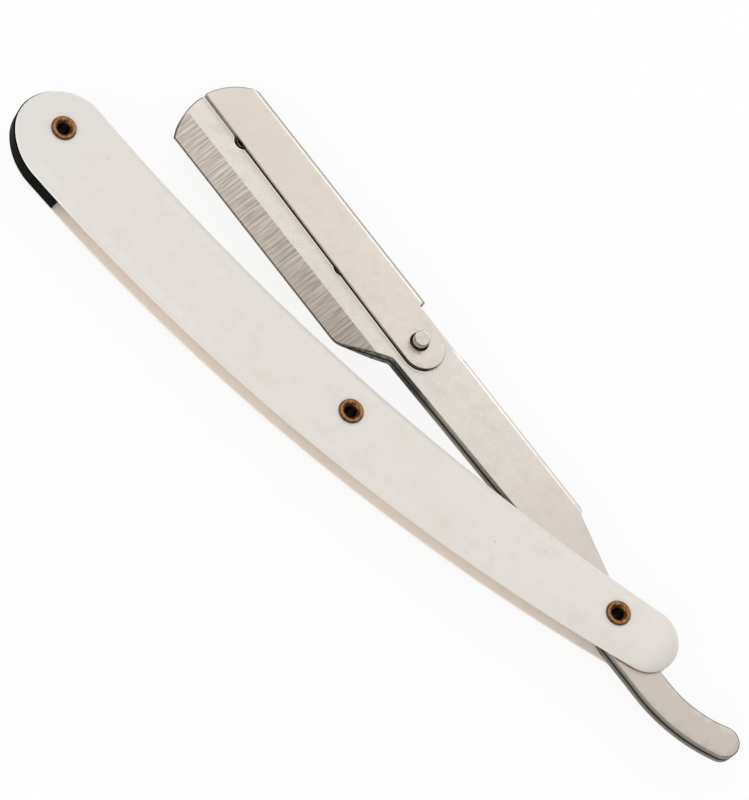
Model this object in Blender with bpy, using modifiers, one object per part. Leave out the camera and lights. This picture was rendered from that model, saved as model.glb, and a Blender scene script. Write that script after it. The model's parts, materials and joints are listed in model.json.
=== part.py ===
"""Folding razor with a clip-locked holder for half a blade, lying on its back scale.

Lengths are in metres and +Z is up. The razor lies flat: X runs along the handle from its
butt to the pivot, Y points from the handle to the half-open arm, and the origin is the
middle of the underside of the whole razor.

Shapes are drawn around the arm's pivot. A place is given by its reach, the distance from
the pivot towards the butt or the blade tip, its rise, the distance above that line, and
its level above the razor's middle plane.
"""

from math import acos, atan2, cos, pi, radians, sin, sqrt, tan

import bmesh
import bpy
from mathutils import Matrix, Vector

# Eyelets, seen from the pivot
MIDDLE_EYELET_REACH = 0.0590
MIDDLE_EYELET_DROP = 0.0048
END_EYELET_REACH = 0.1302

# Handle outline: two long arcs that touch a round nose and a round butt
NOSE_RADIUS = 0.0061
NOSE_BEYOND_PIVOT = 0.0071
NOSE_RISE = 0.0012
BUTT_RADIUS = 0.0091
BUTT_DROP = 0.0002
BUTT_BEFORE_EYELET = 0.0004
BELLY_RADIUS = 0.384
BACK_RADIUS = 0.443

# Scales, the two plastic plates of the handle, and the block between them at the butt
SCALE_THICKNESS = 0.0028
SCALE_RIM = 0.0002
SCALE_RIM_LEAN = radians(20)
SPACER_LENGTH = 0.0163

# Sheet metal of the arm
SHEET = 0.0014
SEAM = 0.00035
SIDE_CLEARANCE = 0.0003

# Eyelets and the sleeve round the middle one
BORE_RADIUS = 0.0011
EYELET_WALL = 0.0003
FLANGE_RADIUS = 0.0023
FLANGE_HEIGHT = 0.00035
FLANGE_LIP = 0.0001
MOUTH_DEPTH = 0.0009
SLEEVE_RADIUS = 0.0027
SEAT_GAP = 0.0001
HOLE_CLEARANCE = 0.00025

# Arm: the holder's leaves
REST_OPENING = radians(12.2)
TIP_RADIUS = 0.0128
TIP_CENTRE_REACH = 0.1065
TIP_CENTRE_DROP = 0.0004
EDGE_DROP = 0.0088
EDGE_THICKNESS = 0.0007
LEAF_SPINE_RISE = 0.0087
GRIND_WIDTH = 0.00465
GRIND_END_BEYOND_CENTRE = 0.0112
HEEL_REACH = 0.0689
HEEL_RADIUS = 0.0035
SHOULDER_REACH = 0.0606
SHOULDER_DROP = 0.0022
SHOULDER_RADIUS = 0.0015

# Arm: the shank, folded along its spine
FOLD_RISE = 0.0095
FOLD_RADIUS = 0.0013
FOLD_FAR_REACH = 0.0515
FOLD_NEAR_REACH = 0.0192
FOLD_RAMP = 0.0030
STEP_REACH = 0.0181
STEP_RISE = 0.0082
SHANK_CORNER_RADIUS = 0.0005
SHANK_NECK_REACH = 0.0130
SHANK_NECK_DROP = 0.0010
NECK_RADIUS = 0.0080

# Arm: the tang round the pivot and the curled tail
TANG_RISE = 0.0032
TANG_BLEND_RADIUS = 0.0100
WAIST_RISE = 0.0012
WAIST_END = 0.0150
TAIL_DROP = 0.0046
TAIL_BELLY_START = 0.0030
TAIL_BELLY_END = 0.0135
TAIL_BELLY_RADIUS = 0.0340
TAIL_TIP_RADIUS = 0.0029
TAIL_END = 0.0322

# Spine clip
CLIP_SHEET = 0.0006
CLIP_CLEARANCE = 0.0003
CLIP_SPINE_RISE = 0.00995
CLIP_BEND_RADIUS = 0.0014
CLIP_WALL_END_BEYOND_PIN = 0.00533
CLIP_TIP_RISE = 0.00055
EAR_RADIUS = 0.0041
EAR_BEHIND_PIN = 0.0013
EAR_SHOULDER_RISE = 0.0083

# Clip pin and blade studs
PIN_REACH = 0.06017
PIN_RISE = 0.00355
PIN_RADIUS = 0.0015
PIN_PROUD = 0.0018
PIN_CHAMFER = 0.00035
STUD_RISE = 0.0011
TIP_STUD_BEYOND_CENTRE = 0.00195
HEEL_STUD_BEYOND_HEEL = 0.0104
STUD_HOLE_RADIUS = 0.0017
STUD_HEAD_RADIUS = 0.0012
STUD_SHANK_RADIUS = 0.0006
STUD_SUNK = 0.0004
STUD_CHAMFER = 0.0003

# How finely round stretches are drawn, the sharpest turn that is shaded smooth, how far a
# cut runs past what it cuts, and the distance within which two corners are one
LONG_ARC_STEPS = 16
CAP_STEPS = 14
CORNER_STEPS = 4
TAIL_STEPS = 8
RIM_STEPS = 5
FLARE_STEPS = 3
TURN_STEPS = 24
SMOOTH_BELOW = radians(35)
OVERRUN = 0.0020
MERGE_DISTANCE = 0.000005

# Sizes that follow from the ones above
BUTT_REACH = END_EYELET_REACH - BUTT_BEFORE_EYELET
ARM_HALF = SHEET + SEAM / 2
GAP_HALF = ARM_HALF + SIDE_CLEARANCE
SPACER_HALF = GAP_HALF - SEAT_GAP
OUTER_FACE = GAP_HALF + SCALE_THICKNESS
EYELET_SEAT = OUTER_FACE + SEAT_GAP
REST_HEIGHT = EYELET_SEAT + FLANGE_HEIGHT
BARREL_RADIUS = BORE_RADIUS + EYELET_WALL
BARREL_HOLE_RADIUS = BARREL_RADIUS + HOLE_CLEARANCE
GRIND_END_REACH = TIP_CENTRE_REACH + GRIND_END_BEYOND_CENTRE
TIP_STUD_REACH = TIP_CENTRE_REACH + TIP_STUD_BEYOND_CENTRE
HEEL_STUD_REACH = HEEL_REACH + HEEL_STUD_BEYOND_HEEL
WEB_RISE = FOLD_RISE - SHEET
CLIP_WALL_END_REACH = PIN_REACH + CLIP_WALL_END_BEYOND_PIN
CLIP_INNER_HALF = ARM_HALF + CLIP_CLEARANCE
CLIP_OUTER_HALF = CLIP_INNER_HALF + CLIP_SHEET
EAR_DROP = EAR_RADIUS - PIN_RISE

# Colours as they are seen, red, green and blue, then roughness and metallic value
FINISHES = {
    "scale_plastic": ((0.89, 0.87, 0.84), 0.38, 0.0),
    "spacer_plastic": ((0.08, 0.08, 0.07), 0.45, 0.0),
    "aged_brass": ((0.60, 0.43, 0.20), 0.42, 1.0),
    "satin_steel": ((0.84, 0.81, 0.77), 0.34, 1.0),
    "clip_steel": ((0.85, 0.82, 0.78), 0.32, 1.0),
    "pin_steel": ((0.80, 0.78, 0.75), 0.25, 1.0),
    "stud_steel": ((0.74, 0.72, 0.69), 0.30, 1.0),
}


# Points in the plane of the razor

def at(reach, rise):
    return Vector((-reach, rise))


def arc_between(centre, first, last, steps, turn):
    """Points round centre from first to last, anticlockwise for turn +1, clockwise for -1."""
    start = atan2(first.y - centre.y, first.x - centre.x)
    end = atan2(last.y - centre.y, last.x - centre.x)
    while (end - start) * turn < 0:
        end += turn * 2 * pi
    angles = [start + (end - start) * k / steps for k in range(steps + 1)]
    radius = (first - centre).length
    return [centre + radius * Vector((cos(a), sin(a))) for a in angles]


def circles_meet(first, first_radius, second, second_radius):
    """The point at both distances, on the left of the way from first to second."""
    span = second - first
    apart = span.length
    along = (first_radius ** 2 - second_radius ** 2 + apart ** 2) / (2 * apart)
    across = sqrt(first_radius ** 2 - along ** 2)
    ahead = span / apart
    return first + along * ahead + across * Vector((-ahead.y, ahead.x))


def tangent_point(centre, radius, point, turn):
    """Where a line from point touches a circle, clockwise of the point for turn -1."""
    out = point - centre
    bearing = atan2(out.y, out.x) + turn * acos(radius / out.length)
    return centre + radius * Vector((cos(bearing), sin(bearing)))


def rounded(corners):
    """Points along a row of (point, radius) corners; the first and last stay sharp."""
    points = [corners[0][0]]
    for (before, _), (corner, radius), (after, _) in zip(corners, corners[1:], corners[2:]):
        back = (before - corner).normalized()
        ahead = (after - corner).normalized()
        half = acos(back.dot(ahead)) / 2
        centre = corner + (back + ahead).normalized() * radius / sin(half)
        first = corner + back * radius / tan(half)
        last = corner + ahead * radius / tan(half)
        turn = 1 if back.cross(ahead) < 0 else -1
        points += arc_between(centre, first, last, CORNER_STEPS, turn)
    points.append(corners[-1][0])
    return points


# Outlines

def handle_circles():
    """Centres of the nose, the butt, the belly arc below them and the back arc above."""
    nose = Vector((NOSE_BEYOND_PIVOT, NOSE_RISE))
    butt = at(BUTT_REACH, -BUTT_DROP)
    belly = circles_meet(butt, BELLY_RADIUS - BUTT_RADIUS, nose, BELLY_RADIUS - NOSE_RADIUS)
    back = circles_meet(butt, BACK_RADIUS + BUTT_RADIUS, nose, BACK_RADIUS + NOSE_RADIUS)
    return nose, butt, belly, back


def touch_points(cap, radius, belly, back):
    """Where a round end meets the belly arc and the back arc."""
    below = cap + (cap - belly).normalized() * radius
    above = cap + (back - cap).normalized() * radius
    return below, above


def handle_outline(inset=0):
    """Side view of the handle, drawn in by inset all round."""
    nose, butt, belly, back = handle_circles()
    nose_below, nose_above = touch_points(nose, NOSE_RADIUS - inset, belly, back)
    butt_below, butt_above = touch_points(butt, BUTT_RADIUS - inset, belly, back)
    points = arc_between(nose, nose_below, nose_above, CAP_STEPS, 1)[:-1]
    points += arc_between(back, nose_above, butt_above, LONG_ARC_STEPS, -1)[:-1]
    points += arc_between(butt, butt_above, butt_below, CAP_STEPS, 1)[:-1]
    points += arc_between(belly, butt_below, nose_below, LONG_ARC_STEPS, 1)[:-1]
    return points


def spacer_outline():
    """The butt end of the handle's outline, closed by a straight inner end."""
    _, butt, belly, back = handle_circles()
    below, above = touch_points(butt, BUTT_RADIUS, belly, back)
    inner = butt.x - BUTT_RADIUS + SPACER_LENGTH
    top = Vector((inner, back.y - sqrt(BACK_RADIUS ** 2 - (inner - back.x) ** 2)))
    bottom = Vector((inner, belly.y - sqrt(BELLY_RADIUS ** 2 - (inner - belly.x) ** 2)))
    points = arc_between(butt, above, below, CAP_STEPS, 1)[:-1]
    points += arc_between(belly, below, bottom, CORNER_STEPS, 1)
    points += arc_between(back, top, above, CORNER_STEPS, -1)[:-1]
    return points


def tip_arc(low, high):
    """The holder's round end from one rise to another."""
    centre = at(TIP_CENTRE_REACH, -TIP_CENTRE_DROP)
    first, last = [
        Vector((centre.x - sqrt(TIP_RADIUS ** 2 - (rise - centre.y) ** 2), rise))
        for rise in (low, high)
    ]
    return arc_between(centre, first, last, CAP_STEPS, -1)


def tail_outline():
    """The curled tail, from its hollow side round the tip and back along its belly.

    The tip circle touches the belly's arc inside, and the hollow's arc is the one that
    leaves the waist level and touches the tip circle outside.
    """
    start = at(-WAIST_END, WAIST_RISE)
    end = at(-TAIL_BELLY_END, -TAIL_DROP)
    belly = end + Vector((0, TAIL_BELLY_RADIUS))
    tip_x = TAIL_END - TAIL_TIP_RADIUS
    drop = sqrt((TAIL_BELLY_RADIUS - TAIL_TIP_RADIUS) ** 2 - (tip_x - belly.x) ** 2)
    tip = Vector((tip_x, belly.y - drop))
    span = tip - start
    hollow_radius = (span.length_squared - TAIL_TIP_RADIUS ** 2) / (2 * (span.y + TAIL_TIP_RADIUS))
    hollow = start + Vector((0, hollow_radius))
    on_hollow = tip + (hollow - tip).normalized() * TAIL_TIP_RADIUS
    on_belly = tip + (tip - belly).normalized() * TAIL_TIP_RADIUS
    points = arc_between(hollow, start, on_hollow, TAIL_STEPS, 1)[:-1]
    points += arc_between(tip, on_hollow, on_belly, TAIL_STEPS, -1)[:-1]
    points += arc_between(belly, on_belly, end, TAIL_STEPS, -1)
    return points


def arm_outline():
    """Side view of the arm: round tip, spine, tail, shank and heel."""
    tip = tip_arc(-EDGE_DROP, LEAF_SPINE_RISE)
    tail = tail_outline()
    tang_slope = (STEP_RISE - TANG_RISE) / STEP_REACH
    waist_start = (TANG_RISE - WAIST_RISE) / tang_slope
    spine = rounded([
        (tip[-1], 0),
        (at(FOLD_FAR_REACH + FOLD_RAMP, LEAF_SPINE_RISE), SHANK_CORNER_RADIUS),
        (at(FOLD_FAR_REACH, FOLD_RISE), SHANK_CORNER_RADIUS),
        (at(FOLD_NEAR_REACH, FOLD_RISE), SHANK_CORNER_RADIUS),
        (at(STEP_REACH, STEP_RISE), SHANK_CORNER_RADIUS),
        (at(-waist_start, WAIST_RISE), TANG_BLEND_RADIUS),
        (tail[0], 0),
    ])
    underside = rounded([
        (tail[-1], 0),
        (at(-TAIL_BELLY_START, -TAIL_DROP), NECK_RADIUS),
        (at(SHANK_NECK_REACH, -SHANK_NECK_DROP), NECK_RADIUS),
        (at(SHOULDER_REACH, -SHOULDER_DROP), SHOULDER_RADIUS),
        (at(HEEL_REACH, -EDGE_DROP), HEEL_RADIUS),
        (tip[0], 0),
    ])
    return tip[:-1] + spine[:-1] + tail[:-1] + underside[:-1]


def seam_outline():
    """All of the arm but the web along the shank's spine, where the sheet is folded."""
    far = TIP_CENTRE_REACH + TIP_RADIUS + OVERRUN
    near = -TAIL_END - OVERRUN
    low = -EDGE_DROP - OVERRUN
    high = FOLD_RISE + OVERRUN
    return [
        at(far, low),
        at(far, high),
        at(FOLD_FAR_REACH + FOLD_RAMP, high),
        at(FOLD_FAR_REACH + FOLD_RAMP, WEB_RISE),
        at(STEP_REACH, WEB_RISE),
        at(STEP_REACH, high),
        at(near, high),
        at(near, low),
    ]


def clip_outline():
    """Side view of the clip: round tip, spine wall, shoulder, round ear and lower edge."""
    tip = tip_arc(CLIP_TIP_RISE, CLIP_SPINE_RISE)
    ear = at(PIN_REACH - EAR_BEHIND_PIN, PIN_RISE)
    shoulder = at(CLIP_WALL_END_REACH, EAR_SHOULDER_RISE)
    ear_top = tangent_point(ear, EAR_RADIUS, shoulder, -1)
    ear_bottom = tangent_point(ear, EAR_RADIUS, tip[0], 1)
    points = tip + [at(CLIP_WALL_END_REACH, CLIP_SPINE_RISE), shoulder]
    return points + arc_between(ear, ear_top, ear_bottom, CAP_STEPS, -1)


# Solids

def mesh_object(name, mesh, collection, parent, place=Vector((0, 0))):
    obj = bpy.data.objects.new(name, mesh)
    collection.objects.link(obj)
    obj.parent = parent
    obj.location = (place.x, place.y, 0)
    return obj


def filled_mesh(name, outline, half_thickness):
    """A mesh of the outline in the XY plane, half_thickness deep on both sides."""
    data = bpy.data.curves.new(name + "_outline", "CURVE")
    data.dimensions = "2D"
    data.fill_mode = "BOTH"
    data.extrude = half_thickness
    spline = data.splines.new("POLY")
    spline.points.add(len(outline) - 1)
    for place, point in zip(spline.points, outline):
        place.co = (point.x, point.y, 0, 1)
    spline.use_cyclic_u = True
    guide = bpy.data.objects.new(name + "_outline", data)
    bpy.context.scene.collection.objects.link(guide)
    bpy.context.view_layer.update()
    evaluated = guide.evaluated_get(bpy.context.evaluated_depsgraph_get())
    mesh = bpy.data.meshes.new_from_object(evaluated)
    bpy.data.objects.remove(guide, do_unlink=True)
    shape = bmesh.new()
    shape.from_mesh(mesh)
    bmesh.ops.remove_doubles(shape, verts=shape.verts, dist=MERGE_DISTANCE)
    bmesh.ops.recalc_face_normals(shape, faces=shape.faces)
    shape.to_mesh(mesh)
    shape.free()
    mesh.name = name
    return mesh


def plate(name, outline, half_thickness, collection, parent):
    """A flat plate, as deep on both sides of the middle plane."""
    return mesh_object(name, filled_mesh(name, outline, half_thickness), collection, parent)


def bar(name, section, far, near, collection, parent):
    """A bar along the arm between two reaches; its section has (rise, level) points."""
    mesh = filled_mesh(name, [Vector(point) for point in section], (far - near) / 2)
    stand = Matrix(((0, 0, 1, 0), (1, 0, 0, 0), (0, 1, 0, 0), (0, 0, 0, 1)))
    mesh.transform(Matrix.Translation((-(far + near) / 2, 0, 0)) @ stand)
    return mesh_object(name, mesh, collection, parent)


def turned(name, profile, hollow, collection, parent, place):
    """A turned piece: a row of (radius, level) points, closed if hollow, spun round Z."""
    shape = bmesh.new()
    verts = [shape.verts.new((radius, 0, level)) for radius, level in profile]
    for first, second in zip(verts, verts[1:]):
        shape.edges.new((first, second))
    if hollow:
        shape.edges.new((verts[-1], verts[0]))
    mesh = bpy.data.meshes.new(name)
    shape.to_mesh(mesh)
    shape.free()
    obj = mesh_object(name, mesh, collection, parent, place)
    screw = obj.modifiers.new("turn", "SCREW")
    screw.axis = "Z"
    screw.steps = TURN_STEPS
    screw.render_steps = TURN_STEPS
    screw.use_merge_vertices = True
    screw.merge_threshold = MERGE_DISTANCE
    return obj


def hole(name, radius, half_length, cutters, parent, place):
    """A round cutter through the middle plane."""
    shape = bmesh.new()
    bmesh.ops.create_cone(
        shape, cap_ends=True, segments=TURN_STEPS, radius1=radius, radius2=radius,
        depth=2 * half_length,
    )
    mesh = bpy.data.meshes.new(name)
    shape.to_mesh(mesh)
    shape.free()
    return mesh_object(name, mesh, cutters, parent, place)


def spine_rounders(name, rise, half, radius, far, near, cutters, parent):
    """Two cutters that round a sheet's bend along its spine, one on each face."""
    rounders = []
    for side, word in ((1, "_front"), (-1, "_back")):
        start = Vector((rise - radius, side * half))
        end = Vector((rise, side * (half - radius)))
        centre = Vector((rise - radius, side * (half - radius)))
        section = arc_between(centre, start, end, CORNER_STEPS, -side)
        section += [
            Vector((rise + OVERRUN, end.y)),
            Vector((rise + OVERRUN, side * (half + OVERRUN))),
            Vector((start.x, side * (half + OVERRUN))),
        ]
        rounders.append(bar(name + word, section, far, near, cutters, parent))
    return rounders


def cut(obj, *cutters):
    for cutter in cutters:
        cutter.hide_render = True
        cutter.display_type = "WIRE"
        boolean = obj.modifiers.new(cutter.name, "BOOLEAN")
        boolean.operation = "DIFFERENCE"
        boolean.solver = "EXACT"
        boolean.object = cutter


def dress(obj, material):
    """Give a piece its material and shade its round stretches smooth."""
    obj.data.materials.clear()
    obj.data.materials.append(material)
    obj.data.shade_smooth()
    obj.data.set_sharp_from_angle(angle=SMOOTH_BELOW)


# Handle

def scale_rings():
    """Insets and levels of a scale's outlines, from its inner face to its outer one."""
    rounding = (SCALE_THICKNESS - SCALE_RIM) / (1 - sin(SCALE_RIM_LEAN))
    rings = [(0, GAP_HALF)]
    for step in range(RIM_STEPS + 1):
        lean = SCALE_RIM_LEAN + (pi / 2 - SCALE_RIM_LEAN) * step / RIM_STEPS
        inset = rounding * (cos(SCALE_RIM_LEAN) - cos(lean))
        level = GAP_HALF + SCALE_RIM + rounding * (sin(lean) - sin(SCALE_RIM_LEAN))
        rings.append((inset, level))
    return rings


def scale_mesh(name, side):
    """A scale, flat inside, its outer face rounded down to a thin rim all round."""
    shape = bmesh.new()
    loops = []
    for inset, level in scale_rings():
        verts = [shape.verts.new((p.x, p.y, side * level)) for p in handle_outline(inset)]
        loops.append([shape.edges.new(pair) for pair in zip(verts, verts[1:] + verts[:1])])
    for lower, upper in zip(loops, loops[1:]):
        bmesh.ops.bridge_loops(shape, edges=lower + upper)
    bmesh.ops.holes_fill(shape, edges=loops[0] + loops[-1])
    bmesh.ops.recalc_face_normals(shape, faces=shape.faces)
    mesh = bpy.data.meshes.new(name)
    shape.to_mesh(mesh)
    shape.free()
    return mesh


def eyelet_profile():
    """A hollow rivet: flared mouth, rolled flange, barrel, and the same again below."""
    crest = EYELET_SEAT + FLANGE_HEIGHT
    crest_radius = (FLANGE_RADIUS + BARREL_RADIUS) / 2
    angles = [pi / 2 * k / FLARE_STEPS for k in range(FLARE_STEPS + 1)]
    mouth = [
        (crest_radius - (crest_radius - BORE_RADIUS) * sin(a), crest - MOUTH_DEPTH * (1 - cos(a)))
        for a in reversed(angles)
    ]
    roll_depth = FLANGE_HEIGHT - FLANGE_LIP
    roll = [
        (crest_radius + (FLANGE_RADIUS - crest_radius) * sin(a), crest - roll_depth * (1 - cos(a)))
        for a in angles[1:]
    ]
    top = mouth + roll + [(FLANGE_RADIUS, EYELET_SEAT), (BARREL_RADIUS, EYELET_SEAT)]
    return top + [(radius, -level) for radius, level in reversed(top)]


def sleeve_profile():
    return [
        (BARREL_HOLE_RADIUS, SPACER_HALF),
        (SLEEVE_RADIUS, SPACER_HALF),
        (SLEEVE_RADIUS, -SPACER_HALF),
        (BARREL_HOLE_RADIUS, -SPACER_HALF),
    ]


def build_handle(parts, cutters, handle, materials):
    places = {
        "pivot": at(0, 0),
        "middle": at(MIDDLE_EYELET_REACH, -MIDDLE_EYELET_DROP),
        "end": at(END_EYELET_REACH, 0),
    }
    through = OUTER_FACE + OVERRUN
    holes = {
        word: hole(word + "_eyelet_hole", BARREL_HOLE_RADIUS, through, cutters, handle, place)
        for word, place in places.items()
    }
    for name, side in (("front_scale", 1), ("back_scale", -1)):
        scale = mesh_object(name, scale_mesh(name, side), parts, handle)
        cut(scale, *holes.values())
        dress(scale, materials["scale_plastic"])

    spacer = plate("end_spacer", spacer_outline(), SPACER_HALF, parts, handle)
    cut(spacer, holes["end"])
    dress(spacer, materials["spacer_plastic"])

    for word, place in places.items():
        eyelet = turned(word + "_eyelet", eyelet_profile(), True, parts, handle, place)
        dress(eyelet, materials["aged_brass"])

    sleeve = turned("middle_sleeve", sleeve_profile(), True, parts, handle, places["middle"])
    dress(sleeve, materials["aged_brass"])


# Arm

def grind_wedges(cutters, arm):
    """Two cutters that grind the leaves down to the cutting edge, one on each face."""
    wedges = []
    for side, word in ((1, "_front"), (-1, "_back")):
        section = [
            (GRIND_WIDTH - EDGE_DROP, side * ARM_HALF),
            (-EDGE_DROP, side * EDGE_THICKNESS / 2),
            (-EDGE_DROP - OVERRUN, side * EDGE_THICKNESS / 2),
            (-EDGE_DROP - OVERRUN, side * (ARM_HALF + OVERRUN)),
            (GRIND_WIDTH - EDGE_DROP, side * (ARM_HALF + OVERRUN)),
        ]
        wedges.append(bar("grind" + word, section, GRIND_END_REACH, SHOULDER_REACH, cutters, arm))
    return wedges


def stud_profile():
    """A stud staked in the back leaf, its head standing in the front leaf's hole."""
    top = ARM_HALF - STUD_SUNK
    shelf = SEAT_GAP - SEAM / 2
    return [
        (0, top),
        (STUD_HEAD_RADIUS - STUD_CHAMFER, top),
        (STUD_HEAD_RADIUS, top - STUD_CHAMFER),
        (STUD_HEAD_RADIUS, shelf),
        (STUD_SHANK_RADIUS, shelf),
        (STUD_SHANK_RADIUS, -ARM_HALF),
        (0, -ARM_HALF),
    ]


def build_arm(parts, cutters, arm, materials):
    body = plate("blade_arm", arm_outline(), ARM_HALF, parts, arm)
    through = ARM_HALF + OVERRUN
    fold_far = FOLD_FAR_REACH + FOLD_RAMP
    cut(body, plate("seam", seam_outline(), SEAM / 2, cutters, arm))
    cut(body, *grind_wedges(cutters, arm))
    cut(body, *spine_rounders(
        "fold", FOLD_RISE, ARM_HALF, FOLD_RADIUS, fold_far, STEP_REACH, cutters, arm
    ))
    pin_place = at(PIN_REACH, PIN_RISE)
    cut(body, hole("pivot_hole", BARREL_HOLE_RADIUS, through, cutters, arm, at(0, 0)))
    cut(body, hole("pin_hole", PIN_RADIUS + HOLE_CLEARANCE, through, cutters, arm, pin_place))
    for name, reach in (("tip_stud", TIP_STUD_REACH), ("heel_stud", HEEL_STUD_REACH)):
        place = at(reach, STUD_RISE)
        head_hole = hole(name + "_head_hole", STUD_HOLE_RADIUS, through / 2, cutters, arm, place)
        head_hole.location.z = through / 2
        shank_radius = STUD_SHANK_RADIUS + HOLE_CLEARANCE
        shank_hole = hole(name + "_shank_hole", shank_radius, through, cutters, arm, place)
        cut(body, head_hole, shank_hole)
        stud = turned(name, stud_profile(), False, parts, arm, place)
        dress(stud, materials["stud_steel"])
    dress(body, materials["satin_steel"])


# Clip

def pin_profile():
    top = CLIP_OUTER_HALF + PIN_PROUD
    upper = [(0, top), (PIN_RADIUS - PIN_CHAMFER, top), (PIN_RADIUS, top - PIN_CHAMFER)]
    return upper + [(radius, -level) for radius, level in reversed(upper)]


def channel_section():
    """The hollow of the clip, as (rise, level) points, its bend rounded inside."""
    low = -EAR_DROP - OVERRUN
    high = CLIP_SPINE_RISE - CLIP_SHEET
    radius = CLIP_BEND_RADIUS - CLIP_SHEET
    return rounded([
        (Vector((low, -CLIP_INNER_HALF)), 0),
        (Vector((high, -CLIP_INNER_HALF)), radius),
        (Vector((high, CLIP_INNER_HALF)), radius),
        (Vector((low, CLIP_INNER_HALF)), 0),
    ])


def build_clip(parts, cutters, arm, clip_pivot, materials):
    place = at(PIN_REACH, PIN_RISE)
    pin = turned("clip_pin", pin_profile(), False, parts, arm, place)
    dress(pin, materials["pin_steel"])

    far = TIP_CENTRE_REACH + TIP_RADIUS + OVERRUN
    near = PIN_REACH - EAR_BEHIND_PIN - EAR_RADIUS - OVERRUN
    through = CLIP_OUTER_HALF + OVERRUN
    outline = [point - place for point in clip_outline()]
    clip = plate("clip", outline, CLIP_OUTER_HALF, parts, clip_pivot)
    cut(clip, bar("clip_channel", channel_section(), far, near, cutters, arm))
    cut(clip, *spine_rounders(
        "clip_bend", CLIP_SPINE_RISE, CLIP_OUTER_HALF, CLIP_BEND_RADIUS, far, near, cutters, arm
    ))
    cut(clip, hole("ear_hole", PIN_RADIUS + HOLE_CLEARANCE, through, cutters, arm, place))
    dress(clip, materials["clip_steel"])


# Whole razor

def clear_scene():
    for old in list(bpy.data.objects):
        bpy.data.objects.remove(old, do_unlink=True)


def new_collection(name):
    collection = bpy.data.collections.new(name)
    bpy.context.scene.collection.children.link(collection)
    return collection


def new_empty(name, parent, place, level, angle):
    empty = bpy.data.objects.new(name, None)
    bpy.context.scene.collection.objects.link(empty)
    empty.parent = parent
    empty.location = (place.x, place.y, level)
    empty.rotation_euler.z = angle
    return empty


def linear(channel):
    """The linear value of a colour channel as it is seen."""
    if channel <= 0.04045:
        return channel / 12.92
    return ((channel + 0.055) / 1.055) ** 2.4


def make_material(name):
    colour, roughness, metallic = FINISHES[name]
    material = bpy.data.materials.new(name)
    material.use_nodes = True
    shader = material.node_tree.nodes["Principled BSDF"]
    shader.inputs["Base Color"].default_value = [linear(c) for c in colour] + [1]
    shader.inputs["Roughness"].default_value = roughness
    shader.inputs["Metallic"].default_value = metallic
    return material


def footprint_centre():
    """Middle of the whole razor's footprint, seen from the pivot."""
    swing = Matrix.Rotation(-REST_OPENING, 2)
    points = handle_outline() + [swing @ p for p in arm_outline() + clip_outline()]
    xs = [p.x for p in points]
    ys = [p.y for p in points]
    return Vector(((min(xs) + max(xs)) / 2, (min(ys) + max(ys)) / 2))


def build():
    clear_scene()
    parts = new_collection("folding_razor")
    cutters = new_collection("cutters")
    materials = {name: make_material(name) for name in FINISHES}
    handle = new_empty("handle", None, -footprint_centre(), REST_HEIGHT, 0)
    arm = new_empty("arm_pivot", handle, at(0, 0), 0, -REST_OPENING)
    clip_pivot = new_empty("clip_pivot", arm, at(PIN_REACH, PIN_RISE), 0, 0)
    build_handle(parts, cutters, handle, materials)
    build_arm(parts, cutters, arm, materials)
    build_clip(parts, cutters, arm, clip_pivot, materials)


build()
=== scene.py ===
"""Looks of the folding razor: finer pieces, materials, light and camera round its frame.

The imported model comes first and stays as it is. Lengths are in metres. Pieces are drawn
around the arm's pivot: a place is given by its reach, the distance from the pivot towards
the butt or the blade tip, its rise, the distance above that line, and its level above the
razor's middle plane.
"""

import json
from math import acos, atan2, ceil, cos, pi, radians, sin, sqrt, tan

import bmesh
import bpy
import numpy as np
from mathutils import Matrix, Vector, geometry


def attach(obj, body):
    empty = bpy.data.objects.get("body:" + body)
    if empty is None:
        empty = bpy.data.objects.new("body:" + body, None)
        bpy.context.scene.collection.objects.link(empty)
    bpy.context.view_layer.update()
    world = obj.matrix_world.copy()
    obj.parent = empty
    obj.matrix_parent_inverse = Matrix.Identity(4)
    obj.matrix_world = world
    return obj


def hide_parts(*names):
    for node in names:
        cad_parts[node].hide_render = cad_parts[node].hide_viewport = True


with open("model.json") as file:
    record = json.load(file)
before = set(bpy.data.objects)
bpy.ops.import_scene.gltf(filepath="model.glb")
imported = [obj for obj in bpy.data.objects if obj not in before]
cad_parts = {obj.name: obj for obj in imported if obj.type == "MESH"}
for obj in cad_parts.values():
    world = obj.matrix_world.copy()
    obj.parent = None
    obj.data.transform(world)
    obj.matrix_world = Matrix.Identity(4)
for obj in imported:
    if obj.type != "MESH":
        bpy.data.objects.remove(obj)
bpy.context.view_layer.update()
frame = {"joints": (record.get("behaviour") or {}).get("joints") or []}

# Eyelets and the handle's outline
MIDDLE_EYELET_REACH = 0.0590
MIDDLE_EYELET_DROP = 0.0048
END_EYELET_REACH = 0.1302
NOSE_RADIUS = 0.0061
NOSE_BEYOND_PIVOT = 0.0071
NOSE_RISE = 0.0012
BUTT_RADIUS = 0.0091
BUTT_REACH = 0.1298
BUTT_DROP = 0.0002
BUTT_CORNER_RADIUS = 0.0080
BUTT_CORNER_TURN = radians(20)
CHIN_RADIUS = 0.0130
FRONT_SCALE_SHORT = 0.00025
BELLY_RADIUS = 0.384
BACK_RADIUS = 0.443

# Levels of the handle's pieces, and how far the fine scales stay inside the plain ones
GAP_HALF = 0.001875
SCALE_THICKNESS = 0.0028
SCALE_RIM = 0.0002
SCALE_RIM_LEAN = radians(20)
SCALE_SKIN = 0.00004
SCALE_INNER_EDGE = 0.0001
SPACER_HALF = 0.001775
SPACER_LENGTH = 0.0163
SPACER_EDGE = 0.00012
OUTER_FACE = GAP_HALF + SCALE_THICKNESS

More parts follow.
